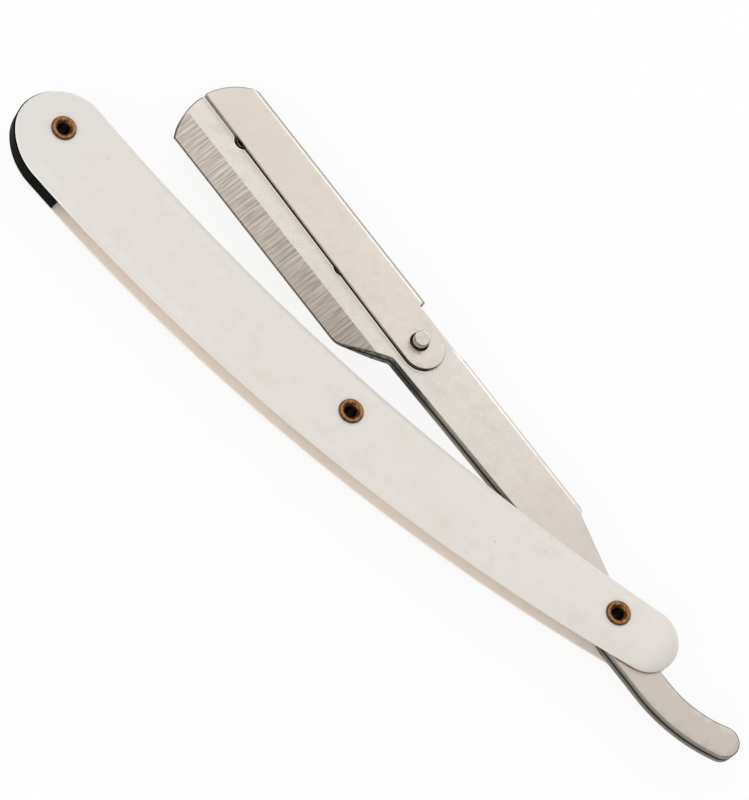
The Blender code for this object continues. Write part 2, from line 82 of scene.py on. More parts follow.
# Eyelets
BORE_RADIUS = 0.0011
BARREL_RADIUS = 0.0014
BARREL_HOLE_RADIUS = 0.00165
FLANGE_RADIUS = 0.0023
FLANGE_HEIGHT = 0.00035
FLANGE_LIP = 0.0001
MOUTH_DEPTH = 0.0009
SEAT_GAP = 0.0001
EYELET_SEAT = OUTER_FACE + SEAT_GAP
SLEEVE_RADIUS = 0.0027
SLEEVE_EDGE = 0.00015

# Arm
ARM_HALF = 0.001575
SEAM_HALF = 0.000175
REST_OPENING = radians(12.2)
TIP_RADIUS = 0.0128
TIP_CENTRE_REACH = 0.1065
TIP_CENTRE_DROP = 0.0004
EDGE_DROP = 0.0088
EDGE_HALF = 0.00035
LEAF_SPINE_RISE = 0.0087
GRIND_WIDTH = 0.00465
GRIND_END_REACH = 0.1177
GRIND_RUN_OUT = 0.0004
GRIND_LEAN = radians(1)
CREASE_RISE = GRIND_WIDTH - EDGE_DROP
HEEL_REACH = 0.0689
HEEL_RADIUS = 0.0035
SHOULDER_REACH = 0.0606
SHOULDER_DROP = 0.0022
SHOULDER_RADIUS = 0.0015
FOLD_RISE = 0.0095
FOLD_RADIUS = 0.0013
FOLD_FAR_REACH = 0.0515
FOLD_NEAR_REACH = 0.0192
FOLD_RAMP = 0.0030
FOLD_FADE = 0.0012
FOLD_OVERLAP = 0.00015
WEB_RISE = 0.0081
STEP_REACH = 0.0181
STEP_RISE = 0.0082
SHANK_CORNER_RADIUS = 0.0005
SHANK_NECK_REACH = 0.0130
SHANK_NECK_DROP = 0.0010
NECK_RADIUS = 0.0080
TANG_RISE = 0.0032
TANG_BLEND_RADIUS = 0.0100
WAIST_RISE = 0.0012
WAIST_END = 0.0150
TAIL_DROP = 0.0046
TAIL_BELLY_START = 0.0030
TAIL_BELLY_END = 0.0135
TAIL_BELLY_RADIUS = 0.0340
TAIL_TIP_RADIUS = 0.0029
TAIL_END = 0.0322
SHEET_EDGE = 0.00014

# Clip, pin and studs
CLIP_SHEET = 0.0006
CLIP_OUTER_HALF = 0.002475
CLIP_SPINE_RISE = 0.00995
CLIP_BEND_RADIUS = 0.0014
CLIP_BEND_RISE = CLIP_SPINE_RISE - CLIP_BEND_RADIUS
CLIP_FLAT = CLIP_OUTER_HALF - CLIP_BEND_RADIUS
CLIP_WALL_END_REACH = 0.0655
CLIP_TIP_RISE = 0.00055
CLIP_EDGE = 0.00014
EAR_RADIUS = 0.0041
EAR_BEHIND_PIN = 0.0013
EAR_SHOULDER_RISE = 0.0083
PIN_REACH = 0.06017
PIN_RISE = 0.00355
PIN_RADIUS = 0.0015
PIN_HOLE_RADIUS = 0.00175
PIN_PROUD = 0.0018
PIN_CHAMFER = 0.00022
PIN_RING_RADIUS = 0.45 * PIN_RADIUS
PIN_GROOVE = PIN_CHAMFER / 8
STUD_RISE = 0.0011
TIP_STUD_REACH = 0.10845
HEEL_STUD_REACH = 0.0793
STUD_HOLE_RADIUS = 0.0017
STUD_SHANK_HOLE_RADIUS = 0.00085
STUD_HEAD_RADIUS = 0.0012
STUD_SHANK_RADIUS = 0.0006
STUD_SUNK = 0.0004
STUD_CHAMFER = 0.0003

# The clip's straight lower edge, and the painted highlights, painted shadow and painted shade lines
# along it and along round edges
TIP_END = TIP_CENTRE_REACH + TIP_RADIUS
CLIP_EDGE_SLOPE = 0.0182
HIGHLIGHT_WIDTH = 0.0005
SHADOW_LINE_WIDTH = 0.00014
EDGE_SHADE_WIDTH = 0.00027

# Where looks change, from and to, in X or Y from the pivot; X is negative towards the butt
# and the blade tip
BUTT_GREY = (-0.116, -0.132)
# where the painted highlight along the scale's rim at the butt fades in
BUTT_HIGHLIGHT = (-0.112, -0.122)
SPACER_WORN_X = (-0.1365, -0.1385)
SPACER_WORN_Y = (-0.006, 0.0)
SHANK_DULL = (-0.045, 0.0)
TAIL_DULL = (0.004, 0.020)
TAIL_SIDES = (-0.030, 0.004)
SOOT_START = (-SHOULDER_REACH - 0.0006, -SHOULDER_REACH + 0.0008)
SOOT_END = (-0.0535, -0.0475)
HEEL_END = (-SHOULDER_REACH - 0.0006, -SHOULDER_REACH)
EDGE_SIDE = (-EDGE_DROP + 0.0006, -EDGE_DROP + 0.0016)
# where the painted shadow along the clip weakens towards the tip
SHADOW_LINE_TIP = (-TIP_CENTRE_REACH, -TIP_CENTRE_REACH - 0.005)
# where the painted shade lines round the tip and along the tail start
TIP_LINE_START = (-TIP_CENTRE_REACH - 0.002, -TIP_CENTRE_REACH)
TAIL_LINE_START = (WAIST_END - 0.004, WAIST_END)
CLIP_DULL = (-0.080, -0.110)
# where the clip's cut side round the ear is painted dark as shade
EAR_SHADE = (-PIN_REACH - 0.006, -PIN_REACH + 0.001)

# The same from the centre of the tail's tip, where its painted shade line starts, and how far below
# the outer face a scale's rim is grey
TAIL_TIP_LINE = (0.0016, -0.0008)
RIM_GREY_DEPTH = 0.0009

# Grinding lines: their wave in radians per metre, and how little they change lengthwise
GRIND_WAVE = 6600
GRIND_DRIFT = 0.04

# Heights of the bumps in the surfaces
MOULDED_HEIGHT = 0.00012
PITTED_HEIGHT = 0.00004
SCRATCH_HEIGHT = 0.00003
GRAIN_HEIGHT = 0.00002
TURNED_HEIGHT = 0.00001

# How finely things are drawn; crease lines in degrees round their fold
CAP_STEPS = 56
LONG_ARC_STEPS = 170
ROUNDING_STEPS = 12
EDGE_STEPS = 3
ARC_STEP = 0.0004
STRAIGHT_STEP = 0.0009
LINE_STEP = 0.0006
HOLE_STEPS = 48
TURN_STEPS = 64
FACE_CELL = 0.0022
LINE_MARGIN = 0.00012
SAME_POINT = 0.0000001
FOLD_LINES = (0, 18, 36, 52, 64)
BEND_LINES = range(0, 91, 15)
SHARPEST_MITRE = 0.5
NORMAL_WEIGHT = 95

# Camera, solved from the photograph
CAMERA_TARGET = Vector((-0.003849, -0.007567, 0.005125))
CAMERA_DISTANCE = 0.8
CAMERA_LENS = 202.32
CAMERA_TILT = radians(28.5)
CAMERA_ROLL = radians(40.5)
CAMERA_TURN = radians(0.769)

# Studio; each lamp has its azimuth, elevation, size and power
FLOOR_RADIUS = 3.0
FLOOR_GLOW = 0.86
WORLD_STRENGTH = 0.78
WORLD_STOPS = ((0.2, 1.0), (0.45, 0.9), (0.8, 1.0))
LAMP_DISTANCE = 0.9
LAMPS = {
    "key": (radians(-120), radians(45), 0.6, 0.8),
    "fill": (radians(-15), radians(30), 0.7, 1.9),
    "overhead": (radians(180), radians(61), 0.6, 0.32),
    "back": (radians(180), radians(28), 0.5, 1.1),
}


# Points in the plane of the razor

def at(reach, rise):
    return Vector((-reach, rise))


def arc_between(centre, first, last, steps, turn):
    """Points round centre from first to last, anticlockwise for turn +1, clockwise for -1."""
    start = atan2(first.y - centre.y, first.x - centre.x)
    end = atan2(last.y - centre.y, last.x - centre.x)
    while (end - start) * turn < 0:
        end += turn * 2 * pi
    radius = (first - centre).length
    if not steps:
        steps = max(EDGE_STEPS, ceil(abs(end - start) * radius / ARC_STEP))
    angles = [start + (end - start) * k / steps for k in range(steps + 1)]
    return [centre + radius * Vector((cos(a), sin(a))) for a in angles]


def circles_meet(first, first_radius, second, second_radius):
    """The point at both distances, on the left of the way from first to second."""
    span = second - first
    apart = span.length
    along = (first_radius ** 2 - second_radius ** 2 + apart ** 2) / (2 * apart)
    across = sqrt(first_radius ** 2 - along ** 2)
    ahead = span / apart
    return first + along * ahead + across * Vector((-ahead.y, ahead.x))


def tangent_point(centre, radius, point, turn):
    """Where a line from point touches a circle, clockwise of the point for turn -1."""
    out = point - centre
    bearing = atan2(out.y, out.x) + turn * acos(radius / out.length)
    return centre + radius * Vector((cos(bearing), sin(bearing)))


def rounded(corners):
    """Points along a row of (point, radius) corners; the first and last stay sharp."""
    points = [corners[0][0]]
    for (before, _), (corner, radius), (after, _) in zip(corners, corners[1:], corners[2:]):
        back = (before - corner).normalized()
        ahead = (after - corner).normalized()
        half = acos(back.dot(ahead)) / 2
        centre = corner + (back + ahead).normalized() * radius / sin(half)
        first = corner + back * radius / tan(half)
        last = corner + ahead * radius / tan(half)
        turn = 1 if back.cross(ahead) < 0 else -1
        points += arc_between(centre, first, last, 0, turn)
    points.append(corners[-1][0])
    return points


def closed_loop(points):
    """The closed outline run anticlockwise, its long straights cut into short steps."""
    if sum(a.cross(b) for a, b in zip(points, points[1:] + points[:1])) < 0:
        points = points[::-1]
    loop = []
    for here, after in zip(points, points[1:] + points[:1]):
        parts = max(1, ceil((after - here).length / STRAIGHT_STEP))
        loop += [here.lerp(after, k / parts) for k in range(parts)]
    return loop


def drawn_in(loop, distance):
    """The anticlockwise loop moved inwards."""
    points = []
    for before, here, after in zip(loop[-1:] + loop[:-1], loop, loop[1:] + loop[:1]):
        behind = (here - before).normalized()
        ahead = (after - here).normalized()
        mean = (ahead + behind).normalized()
        stretch = max(mean.dot(ahead), SHARPEST_MITRE)
        points.append(here + Vector((-mean.y, mean.x)) * distance / stretch)
    return points


def line_of(start, end):
    """Points from start to end, close enough together to follow a curved face."""
    parts = max(1, ceil((end - start).length / LINE_STEP))
    return [start.lerp(end, k / parts) for k in range(parts + 1)]


# Outlines

def eyelet_spots():
    """The centres of the three eyelets, by name."""
    return {
        "pivot": at(0, 0),
        "middle": at(MIDDLE_EYELET_REACH, -MIDDLE_EYELET_DROP),
        "end": at(END_EYELET_REACH, 0),
    }


def handle_circles(short=0.0):
    """Centres of the nose, the butt, the belly arc below them and the back arc above."""
    nose = Vector((NOSE_BEYOND_PIVOT, NOSE_RISE))
    butt = at(BUTT_REACH - short, -BUTT_DROP)
    belly = circles_meet(butt, BELLY_RADIUS - BUTT_RADIUS, nose, BELLY_RADIUS - NOSE_RADIUS)
    back = circles_meet(butt, BACK_RADIUS + BUTT_RADIUS, nose, BACK_RADIUS + NOSE_RADIUS)
    return nose, butt, belly, back


def touch_points(cap, radius, belly, back):
    """Where a round end meets the belly arc and the back arc."""
    below = cap + (cap - belly).normalized() * radius
    above = cap + (back - cap).normalized() * radius
    return below, above


def butt_arcs(butt, belly, above, inset):
    """Points round the butt: its round top, a tighter corner and a flatter chin."""
    ahead = at(cos(BUTT_CORNER_TURN), sin(BUTT_CORNER_TURN))
    corner = butt + (BUTT_RADIUS - BUTT_CORNER_RADIUS) * ahead
    chin = circles_meet(belly, BELLY_RADIUS - CHIN_RADIUS, corner, CHIN_RADIUS - BUTT_CORNER_RADIUS)
    first = butt + (BUTT_RADIUS - inset) * ahead
    second = corner + (BUTT_CORNER_RADIUS - inset) * (corner - chin).normalized()
    below = chin + (CHIN_RADIUS - inset) * (chin - belly).normalized()
    points = arc_between(butt, above, first, CAP_STEPS // 2, 1)[:-1]
    points += arc_between(corner, first, second, CAP_STEPS // 2, 1)[:-1]
    return points + arc_between(chin, second, below, CAP_STEPS // 2, 1)


def handle_outline(inset, short=0.0):
    """Side view of the handle, drawn in by inset all round, anticlockwise."""
    nose, butt, belly, back = handle_circles(short)
    nose_below, nose_above = touch_points(nose, NOSE_RADIUS - inset, belly, back)
    _, butt_above = touch_points(butt, BUTT_RADIUS - inset, belly, back)
    round_butt = butt_arcs(butt, belly, butt_above, inset)
    points = arc_between(nose, nose_below, nose_above, CAP_STEPS, 1)[:-1]
    points += arc_between(back, nose_above, butt_above, LONG_ARC_STEPS, -1)[:-1]
    points += round_butt[:-1]
    return points + arc_between(belly, round_butt[-1], nose_below, LONG_ARC_STEPS, 1)[:-1]


def spacer_outline():
    """The butt end of the handle's outline, closed by a straight inner end."""
    _, butt, belly, back = handle_circles()
    _, above = touch_points(butt, BUTT_RADIUS - SCALE_SKIN, belly, back)
    inner = butt.x - BUTT_RADIUS + SPACER_LENGTH
    top = Vector((inner, back.y - sqrt(BACK_RADIUS ** 2 - (inner - back.x) ** 2)))
    bottom = Vector((inner, belly.y - sqrt(BELLY_RADIUS ** 2 - (inner - belly.x) ** 2)))
    points = butt_arcs(butt, belly, above, SCALE_SKIN)[:-1]
    points += arc_between(belly, points[-1], bottom, 0, 1)[1:]
    return points + arc_between(back, top, above, 0, -1)[:-1]


def tip_arc(low, high):
    """The holder's round end from one rise to another."""
    centre = at(TIP_CENTRE_REACH, -TIP_CENTRE_DROP)
    first, last = [
        Vector((centre.x - sqrt(TIP_RADIUS ** 2 - (rise - centre.y) ** 2), rise))
        for rise in (low, high)
    ]
    return arc_between(centre, first, last, 0, -1)


def tail_circles():
    """Centres of the tail's belly, round tip and hollow side, and the hollow's radius."""
    start = at(-WAIST_END, WAIST_RISE)
    belly = at(-TAIL_BELLY_END, TAIL_BELLY_RADIUS - TAIL_DROP)
    tip_x = TAIL_END - TAIL_TIP_RADIUS
    drop = sqrt((TAIL_BELLY_RADIUS - TAIL_TIP_RADIUS) ** 2 - (tip_x - belly.x) ** 2)
    tip = Vector((tip_x, belly.y - drop))
    span = tip - start
    hollow_radius = (span.length_squared - TAIL_TIP_RADIUS ** 2) / (2 * (span.y + TAIL_TIP_RADIUS))
    return belly, tip, start + Vector((0, hollow_radius)), hollow_radius


def tail_outline():
    """The curled tail, from its hollow side round the tip and back along its belly."""
    start = at(-WAIST_END, WAIST_RISE)
    end = at(-TAIL_BELLY_END, -TAIL_DROP)
    belly, tip, hollow, _ = tail_circles()
    on_hollow = tip + (hollow - tip).normalized() * TAIL_TIP_RADIUS
    on_belly = tip + (tip - belly).normalized() * TAIL_TIP_RADIUS
    points = arc_between(hollow, start, on_hollow, 0, 1)[:-1]
    points += arc_between(tip, on_hollow, on_belly, 0, -1)[:-1]
    return points + arc_between(belly, on_belly, end, 0, -1)


def arm_outline():
    """Side view of the arm: round tip, spine, tail, shank and heel."""
    tip = tip_arc(-EDGE_DROP, LEAF_SPINE_RISE)
    tail = tail_outline()
    tang_slope = (STEP_RISE - TANG_RISE) / STEP_REACH
    waist_start = (TANG_RISE - WAIST_RISE) / tang_slope
    spine = rounded([
        (tip[-1], 0),
        (at(FOLD_FAR_REACH + FOLD_RAMP, LEAF_SPINE_RISE), SHANK_CORNER_RADIUS),
        (at(FOLD_FAR_REACH, FOLD_RISE), SHANK_CORNER_RADIUS),
        (at(FOLD_NEAR_REACH, FOLD_RISE), SHANK_CORNER_RADIUS),
        (at(STEP_REACH, STEP_RISE), SHANK_CORNER_RADIUS),
        (at(-waist_start, WAIST_RISE), TANG_BLEND_RADIUS),
        (tail[0], 0),
    ])
    underside = rounded([
        (tail[-1], 0),
        (at(-TAIL_BELLY_START, -TAIL_DROP), NECK_RADIUS),
        (at(SHANK_NECK_REACH, -SHANK_NECK_DROP), NECK_RADIUS),
        (at(SHOULDER_REACH, -SHOULDER_DROP), SHOULDER_RADIUS),
        (at(HEEL_REACH, -EDGE_DROP), HEEL_RADIUS),
        (tip[0], 0),
    ])
    return tip[:-1] + spine[:-1] + tail[:-1] + underside[:-1]


# Sheets: two faces with rounded edges and holes

def rows_of(points):
    return np.array([tuple(p) for p in points])


def clearance(points, loops):
    """Distance from each point to the nearest side of the loops, negative outside."""
    nearest = np.full(len(points), np.inf)
    crossings = np.zeros(len(points), int)
    px, py = points[:, :1], points[:, 1:]
    for loop in loops:
        start = rows_of(loop)
        span = np.roll(start, -1, 0) - start
        out_x, out_y = px - start[:, 0], py - start[:, 1]
        share = (out_x * span[:, 0] + out_y * span[:, 1]) / (span ** 2).sum(1)
        share = np.clip(share, 0, 1)
        gaps = np.hypot(out_x - share * span[:, 0], out_y - share * span[:, 1])
        nearest = np.minimum(nearest, gaps.min(1))
        straddles = (out_y < 0) != (out_y < span[:, 1])
        with np.errstate(divide="ignore", invalid="ignore"):
            left = out_x < out_y * span[:, 0] / span[:, 1]
        crossings += (straddles & left).sum(1)
    return np.where(crossings % 2 == 1, nearest, -nearest)


def inside_runs(line, loops):
    """The stretches of a line that stay clear of the loops."""
    free = clearance(rows_of(line), loops) > LINE_MARGIN
    runs = [[]]
    for point, ok in zip(line, free):
        if ok:
            runs[-1].append(point)
        else:
            runs.append([])
    return [run for run in runs if len(run) > 1]


def spread_points(loops, lines, cell):
    """Points spread evenly inside the loops, clear of them and of the lines."""
    outer = rows_of(loops[0])
    low, high = outer.min(0), outer.max(0)
    rows = np.arange(low[1], high[1], cell * sin(pi / 3))
    columns = np.arange(low[0], high[0], cell)
    points = np.array([(x + cell / 2 * (k % 2), y) for k, y in enumerate(rows) for x in columns])
    keep = clearance(points, loops) > cell / 2
    for line in lines:
        path = rows_of(line)
        gaps = np.hypot(points[:, :1] - path[:, 0], points[:, 1:] - path[:, 1])
        keep &= gaps.min(1) > cell / 2
    return [Vector(p) for p in points[keep].tolist()]


def fill(shape, borders, place, lines, cell):
    """Closes a face of a sheet with triangles that follow its curve and its crease lines."""
    loops = [loop for loop, _ in borders]
    runs = [run for line in lines for run in inside_runs(line, loops)]
    coords, edges, verts = [], [], []
    for loop, ring in borders:
        first, count = len(coords), len(loop)
        coords += loop
        verts += ring
        edges += [(first + k, first + (k + 1) % count) for k in range(count)]
    for run in runs:
        first = len(coords)
        coords += run
        edges += [(first + k, first + k + 1) for k in range(len(run) - 1)]
    coords += spread_points(loops, runs, cell)
    points, _, faces, origins, _, _ = geometry.delaunay_2d_cdt(
        coords, edges, [], 1, SAME_POINT, True
    )
    corners = np.array([[tuple(points[k]) for k in face] for face in faces])
    inside = clearance(corners.mean(1), loops) > 0
    made = {}
    for face in [face for face, kept in zip(faces, inside) if kept]:
        for k in face:
            if k not in made:
                known = [n for n in origins[k] if n < len(verts)]
                made[k] = verts[known[0]] if known else shape.verts.new(place(points[k]))
        shape.faces.new([made[k] for k in face])


def circle_at(centre, radius):
    """A hole's outline, widened by an inset."""
    def loop(inset):
        angles = [2 * pi * k / HOLE_STEPS for k in range(HOLE_STEPS)]
        return [centre + (radius + inset) * Vector((cos(a), sin(a))) for a in angles]
    return loop


def edge_steps(radius):
    """Insets and depths of a rounded edge, from the face to the side."""
    angles = [pi / 2 * k / EDGE_STEPS for k in range(EDGE_STEPS + 1)]
    return [(radius * (1 - sin(a)), radius * (1 - cos(a))) for a in angles]


def join(shape, upper, lower):
    """Faces between two rings; where a ring is one point they are triangles."""
    for corners in zip(upper, upper[1:] + upper[:1], lower[1:] + lower[:1], lower):
        shape.faces.new(list(dict.fromkeys(corners)))


def add_sheet(shape, loop_of, holes, skin, thick, edge, lines=(), outer_edge=None, share=0.45):
    """Adds a closed sheet to a mesh.

    skin(point, depth) is the place of an outline's point at a depth below the outer face,
    and thick(point) the depth of the inner face. Edges are rounded by the radius edge, except
    an outer edge with its own insets and depths. An edge takes at most that share of the depth.
    """
    far = edge_steps(edge)
    borders = [(loop_of, outer_edge or far)] + [(circle_at(*hole), far) for hole in holes]
    front, back = [], []
    for loop_at, near in borders:
        rings = []
        for inset, depth in near:
            loop = loop_at(inset)
            ring = [shape.verts.new(skin(p, min(depth, thick(p) * share))) for p in loop]
            rings.append((loop, ring))
        for inset, depth in reversed(far):
            loop = loop_at(inset)
            ring = [shape.verts.new(skin(p, thick(p) - min(depth, thick(p) * share))) for p in loop]
            rings.append((loop, ring))
        for (_, upper), (_, lower) in zip(rings, rings[1:]):
            join(shape, upper, lower)
        front.append(rings[0])
        back.append(rings[-1])
    fill(shape, front, lambda p: skin(p, 0), lines, FACE_CELL)
    fill(shape, back, lambda p: skin(p, thick(p)), lines, FACE_CELL)


def in_scene(name, data):
    thing = bpy.data.objects.new(name, data)
    bpy.context.scene.collection.objects.link(thing)
    return thing


def finished(name, shape, place, look, node, body):
    """Turns a mesh into a piece that stands for a CAD node and rides on a body.

    Its look is a material and the name of its slot; the name is not used.
    """
    bmesh.ops.recalc_face_normals(shape, faces=shape.faces)
    mesh = bpy.data.meshes.new(name)
    for face in shape.faces:
        face.smooth = True
    shape.to_mesh(mesh)
    shape.free()
    mesh.transform(place.to_3x3().to_4x4())
    mesh.materials.append(look[0])
    piece = in_scene(name, mesh)
    piece.location = place.translation
    weighted = piece.modifiers.new("even_shading", "WEIGHTED_NORMAL")
    weighted.keep_sharp = True
    weighted.weight = NORMAL_WEIGHT
    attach(piece, body)
    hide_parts(node)


# Handle

def add_scale(name, side, short, place, look):
    rounding = (SCALE_THICKNESS - SCALE_RIM) / (1 - sin(SCALE_RIM_LEAN))
    outer = []
    for step in range(ROUNDING_STEPS, -1, -1):
        lean = SCALE_RIM_LEAN + (pi / 2 - SCALE_RIM_LEAN) * step / ROUNDING_STEPS
        inset = rounding * (cos(SCALE_RIM_LEAN) - cos(lean))
        outer.append((inset, rounding * (1 - sin(lean))))
    shape = bmesh.new()
    add_sheet(
        shape,
        lambda inset: handle_outline(inset + SCALE_SKIN, short),
        [(spot, BARREL_HOLE_RADIUS) for spot in eyelet_spots().values()],
        lambda p, depth: Vector((p.x, p.y, side * (OUTER_FACE - depth))),
        lambda p: SCALE_THICKNESS,
        SCALE_INNER_EDGE,
        outer_edge=outer,
        share=1,
    )
    finished(name + "_moulding", shape, place, look, name, "handle")


def add_spacer(place, look):
    loop = closed_loop(spacer_outline())
    shape = bmesh.new()
    add_sheet(
        shape,
        lambda inset: drawn_in(loop, inset),
        [(at(END_EYELET_REACH, 0), BARREL_HOLE_RADIUS)],
        lambda p, depth: Vector((p.x, p.y, SPACER_HALF - depth)),
        lambda p: 2 * SPACER_HALF,
        SPACER_EDGE,
    )
    finished("spacer_block", shape, place, look, "end_spacer", "handle")


def turned(profile):
    """A mesh spun round Z from (radius, level) points, closed if they start off the axis."""
    shape = bmesh.new()
    rings = []
    for radius, level in profile:
        if radius < SAME_POINT:
            rings.append([shape.verts.new((0, 0, level))] * TURN_STEPS)
            continue
        angles = [2 * pi * k / TURN_STEPS for k in range(TURN_STEPS)]
        rings.append([shape.verts.new((radius * cos(a), radius * sin(a), level)) for a in angles])
    if profile[0][0] > SAME_POINT:
        rings.append(rings[0])
    for upper, lower in zip(rings, rings[1:]):
        join(shape, upper, lower)
    return shape


def mirrored(profile):
    """A profile and its mirror image below the middle plane."""
    return profile + [(radius, -level) for radius, level in reversed(profile)]


def eyelet_profile():
    """A hollow rivet: flared mouth, rolled flange, barrel, and the same again below."""
    crest = EYELET_SEAT + FLANGE_HEIGHT
    crest_radius = (FLANGE_RADIUS + BARREL_RADIUS) / 2
    angles = [pi / 2 * k / ROUNDING_STEPS for k in range(ROUNDING_STEPS + 1)]
    mouth = [
        (crest_radius - (crest_radius - BORE_RADIUS) * sin(a), crest - MOUTH_DEPTH * (1 - cos(a)))
        for a in reversed(angles)
    ]
    roll_depth = FLANGE_HEIGHT - FLANGE_LIP
    roll = [
        (crest_radius + (FLANGE_RADIUS - crest_radius) * sin(a), crest - roll_depth * (1 - cos(a)))
        for a in angles[1:]
    ]
    return mirrored(mouth + roll + [(FLANGE_RADIUS, EYELET_SEAT), (BARREL_RADIUS, EYELET_SEAT)])


def sleeve_profile():
    return mirrored([
        (BARREL_HOLE_RADIUS, SPACER_HALF - SLEEVE_EDGE),
        (BARREL_HOLE_RADIUS + SLEEVE_EDGE, SPACER_HALF),
        (SLEEVE_RADIUS - SLEEVE_EDGE, SPACER_HALF),
        (SLEEVE_RADIUS, SPACER_HALF - SLEEVE_EDGE),
    ])


def add_turned(name, profile, place, spot, look, node, body):
    spot_place = place @ Matrix.Translation((spot.x, spot.y, 0))
    finished(name, turned(profile), spot_place, look, node, body)


# Arm

def fold_share(reach):
    """How much of the shank's fold shows at a reach: all along the shank, none beyond."""
    far = (FOLD_FAR_REACH + FOLD_RAMP + FOLD_FADE - reach) / FOLD_FADE
    near = (reach - STEP_REACH + FOLD_FADE / 2) / FOLD_FADE
    return min(max(min(far, near), 0), 1)


def leaf_level(p):
    """Level of the front leaf's outer face: flat, ground towards the edge, folded over."""
    reach, rise = -p.x, p.y
    level = ARM_HALF
    ground = (CREASE_RISE - rise) / GRIND_WIDTH
    if ground > 0 and reach > SHOULDER_REACH:
        run_out = min(max((GRIND_END_REACH + GRIND_RUN_OUT - reach) / GRIND_RUN_OUT, 0), 1)
        level -= min(ground, 1) * (ARM_HALF - EDGE_HALF) * run_out
    over = min(rise - FOLD_RISE + FOLD_RADIUS, FOLD_RADIUS)
    if over > 0:
        level -= (FOLD_RADIUS - sqrt(FOLD_RADIUS ** 2 - over ** 2)) * fold_share(reach)
    return level


def leaf_thickness(p):
    """Down to the seam, or past the middle where the two leaves are one folded sheet."""
    folded = p.y > WEB_RISE and fold_share(-p.x) > 0
    return leaf_level(p) - (-FOLD_OVERLAP if folded else SEAM_HALF)


def leaf_lines():
    """Lines along the grind's upper border and end, and along the fold."""
    lines = [line_of(at(SHOULDER_REACH, CREASE_RISE), at(GRIND_END_REACH, CREASE_RISE))]
    for reach in (GRIND_END_REACH, GRIND_END_REACH + GRIND_RUN_OUT):
        lines.append(line_of(at(reach, CREASE_RISE - LINE_MARGIN), at(reach, -EDGE_DROP)))
    for angle in FOLD_LINES:
        rise = FOLD_RISE - FOLD_RADIUS * (1 - sin(radians(angle)))
        far = FOLD_FAR_REACH + FOLD_RAMP + FOLD_FADE
        lines.append(line_of(at(far, rise), at(STEP_REACH - FOLD_FADE / 2, rise)))
    return lines


def add_arm(place, look):
    """The folded sheet of the arm: two leaves that meet along the shank's spine."""
    loop = closed_loop(arm_outline())
    common = [(at(0, 0), BARREL_HOLE_RADIUS), (at(PIN_REACH, PIN_RISE), PIN_HOLE_RADIUS)]
    studs = [at(TIP_STUD_REACH, STUD_RISE), at(HEEL_STUD_REACH, STUD_RISE)]
    shape = bmesh.new()
    for side, radius in ((1, STUD_HOLE_RADIUS), (-1, STUD_SHANK_HOLE_RADIUS)):
        add_sheet(
            shape,
            lambda inset: drawn_in(loop, inset),
            common + [(spot, radius) for spot in studs],
            lambda p, depth: Vector((p.x, p.y, side * (leaf_level(p) - depth))),
            leaf_thickness,
            SHEET_EDGE,
            leaf_lines(),
        )
    for edge in shape.edges:
        if all(abs(v.co.y - CREASE_RISE) < SAME_POINT * 10 for v in edge.verts):
            edge.smooth = False
    finished("arm_sheet", shape, place, look, "blade_arm", "arm")


def stud_profile():
    """A stud staked in the back leaf, its rounded head standing in the front leaf's hole."""
    top = ARM_HALF - STUD_SUNK
    dome = [(STUD_HEAD_RADIUS - inset, top - depth) for inset, depth in edge_steps(STUD_CHAMFER)]
    shelf = -SEAM_HALF / 2
    shank = [(STUD_SHANK_RADIUS, shelf), (STUD_SHANK_RADIUS, -ARM_HALF), (0, -ARM_HALF)]
    return [(0, top)] + dome + [(STUD_HEAD_RADIUS, shelf)] + shank


# Clip

def clip_fold(p, depth):
    """Folds a flat pattern's point (x, way round the spine) to its place on the clip."""
    way = abs(p.y)
    bend = pi / 2 * CLIP_BEND_RADIUS
    if way < CLIP_FLAT:
        rise, level = CLIP_SPINE_RISE - depth, way
    elif way < CLIP_FLAT + bend:
        angle = (way - CLIP_FLAT) / CLIP_BEND_RADIUS
        radius = CLIP_BEND_RADIUS - depth
        rise = CLIP_BEND_RISE + radius * cos(angle)
        level = CLIP_FLAT + radius * sin(angle)
    else:
        rise = CLIP_BEND_RISE - (way - CLIP_FLAT - bend)
        level = CLIP_OUTER_HALF - depth
    return Vector((p.x, rise, level if p.y > 0 else -level))


def way_round(rise):
    """How far round the spine a rise of the outer face lies in the flat pattern."""
    over = rise - CLIP_SPINE_RISE + CLIP_BEND_RADIUS
    if over <= 0:
        return CLIP_FLAT + pi / 2 * CLIP_BEND_RADIUS - over
    return CLIP_FLAT + CLIP_BEND_RADIUS * acos(min(over / CLIP_BEND_RADIUS, 1))


def clip_pattern():
    """The clip's sheet laid flat, anticlockwise."""
    tip = tip_arc(CLIP_TIP_RISE, CLIP_SPINE_RISE)[::-1]
    ear = at(PIN_REACH - EAR_BEHIND_PIN, PIN_RISE)
    shoulder = at(CLIP_WALL_END_REACH, EAR_SHOULDER_RISE)
    ear_top = tangent_point(ear, EAR_RADIUS, shoulder, -1)
    ear_bottom = tangent_point(ear, EAR_RADIUS, tip[-1], 1)
    wall = tip + arc_between(ear, ear_bottom, ear_top, 0, 1)
    wall += line_of(shoulder, at(CLIP_WALL_END_REACH, CLIP_SPINE_RISE))
    half = [Vector((p.x, way_round(p.y))) for p in wall]
    return closed_loop(half + [Vector((p.x, -p.y)) for p in reversed(half)])


def add_clip(place, look):
    loop = clip_pattern()
    ways = [CLIP_FLAT + CLIP_BEND_RADIUS * radians(a) for a in BEND_LINES]
    ways = [way * side for way in ways for side in (1, -1)]
    lines = [line_of(at(TIP_END, way), at(CLIP_WALL_END_REACH, way)) for way in ways]
    pin = at(PIN_REACH, way_round(PIN_RISE))
    holes = [(pin, PIN_HOLE_RADIUS), (Vector((pin.x, -pin.y)), PIN_HOLE_RADIUS)]
    shape = bmesh.new()
    add_sheet(
        shape, lambda inset: drawn_in(loop, inset), holes, clip_fold, lambda p: CLIP_SHEET,
        CLIP_EDGE, lines,
    )
    finished("clip_sheet", shape, place, look, "clip", "clip")


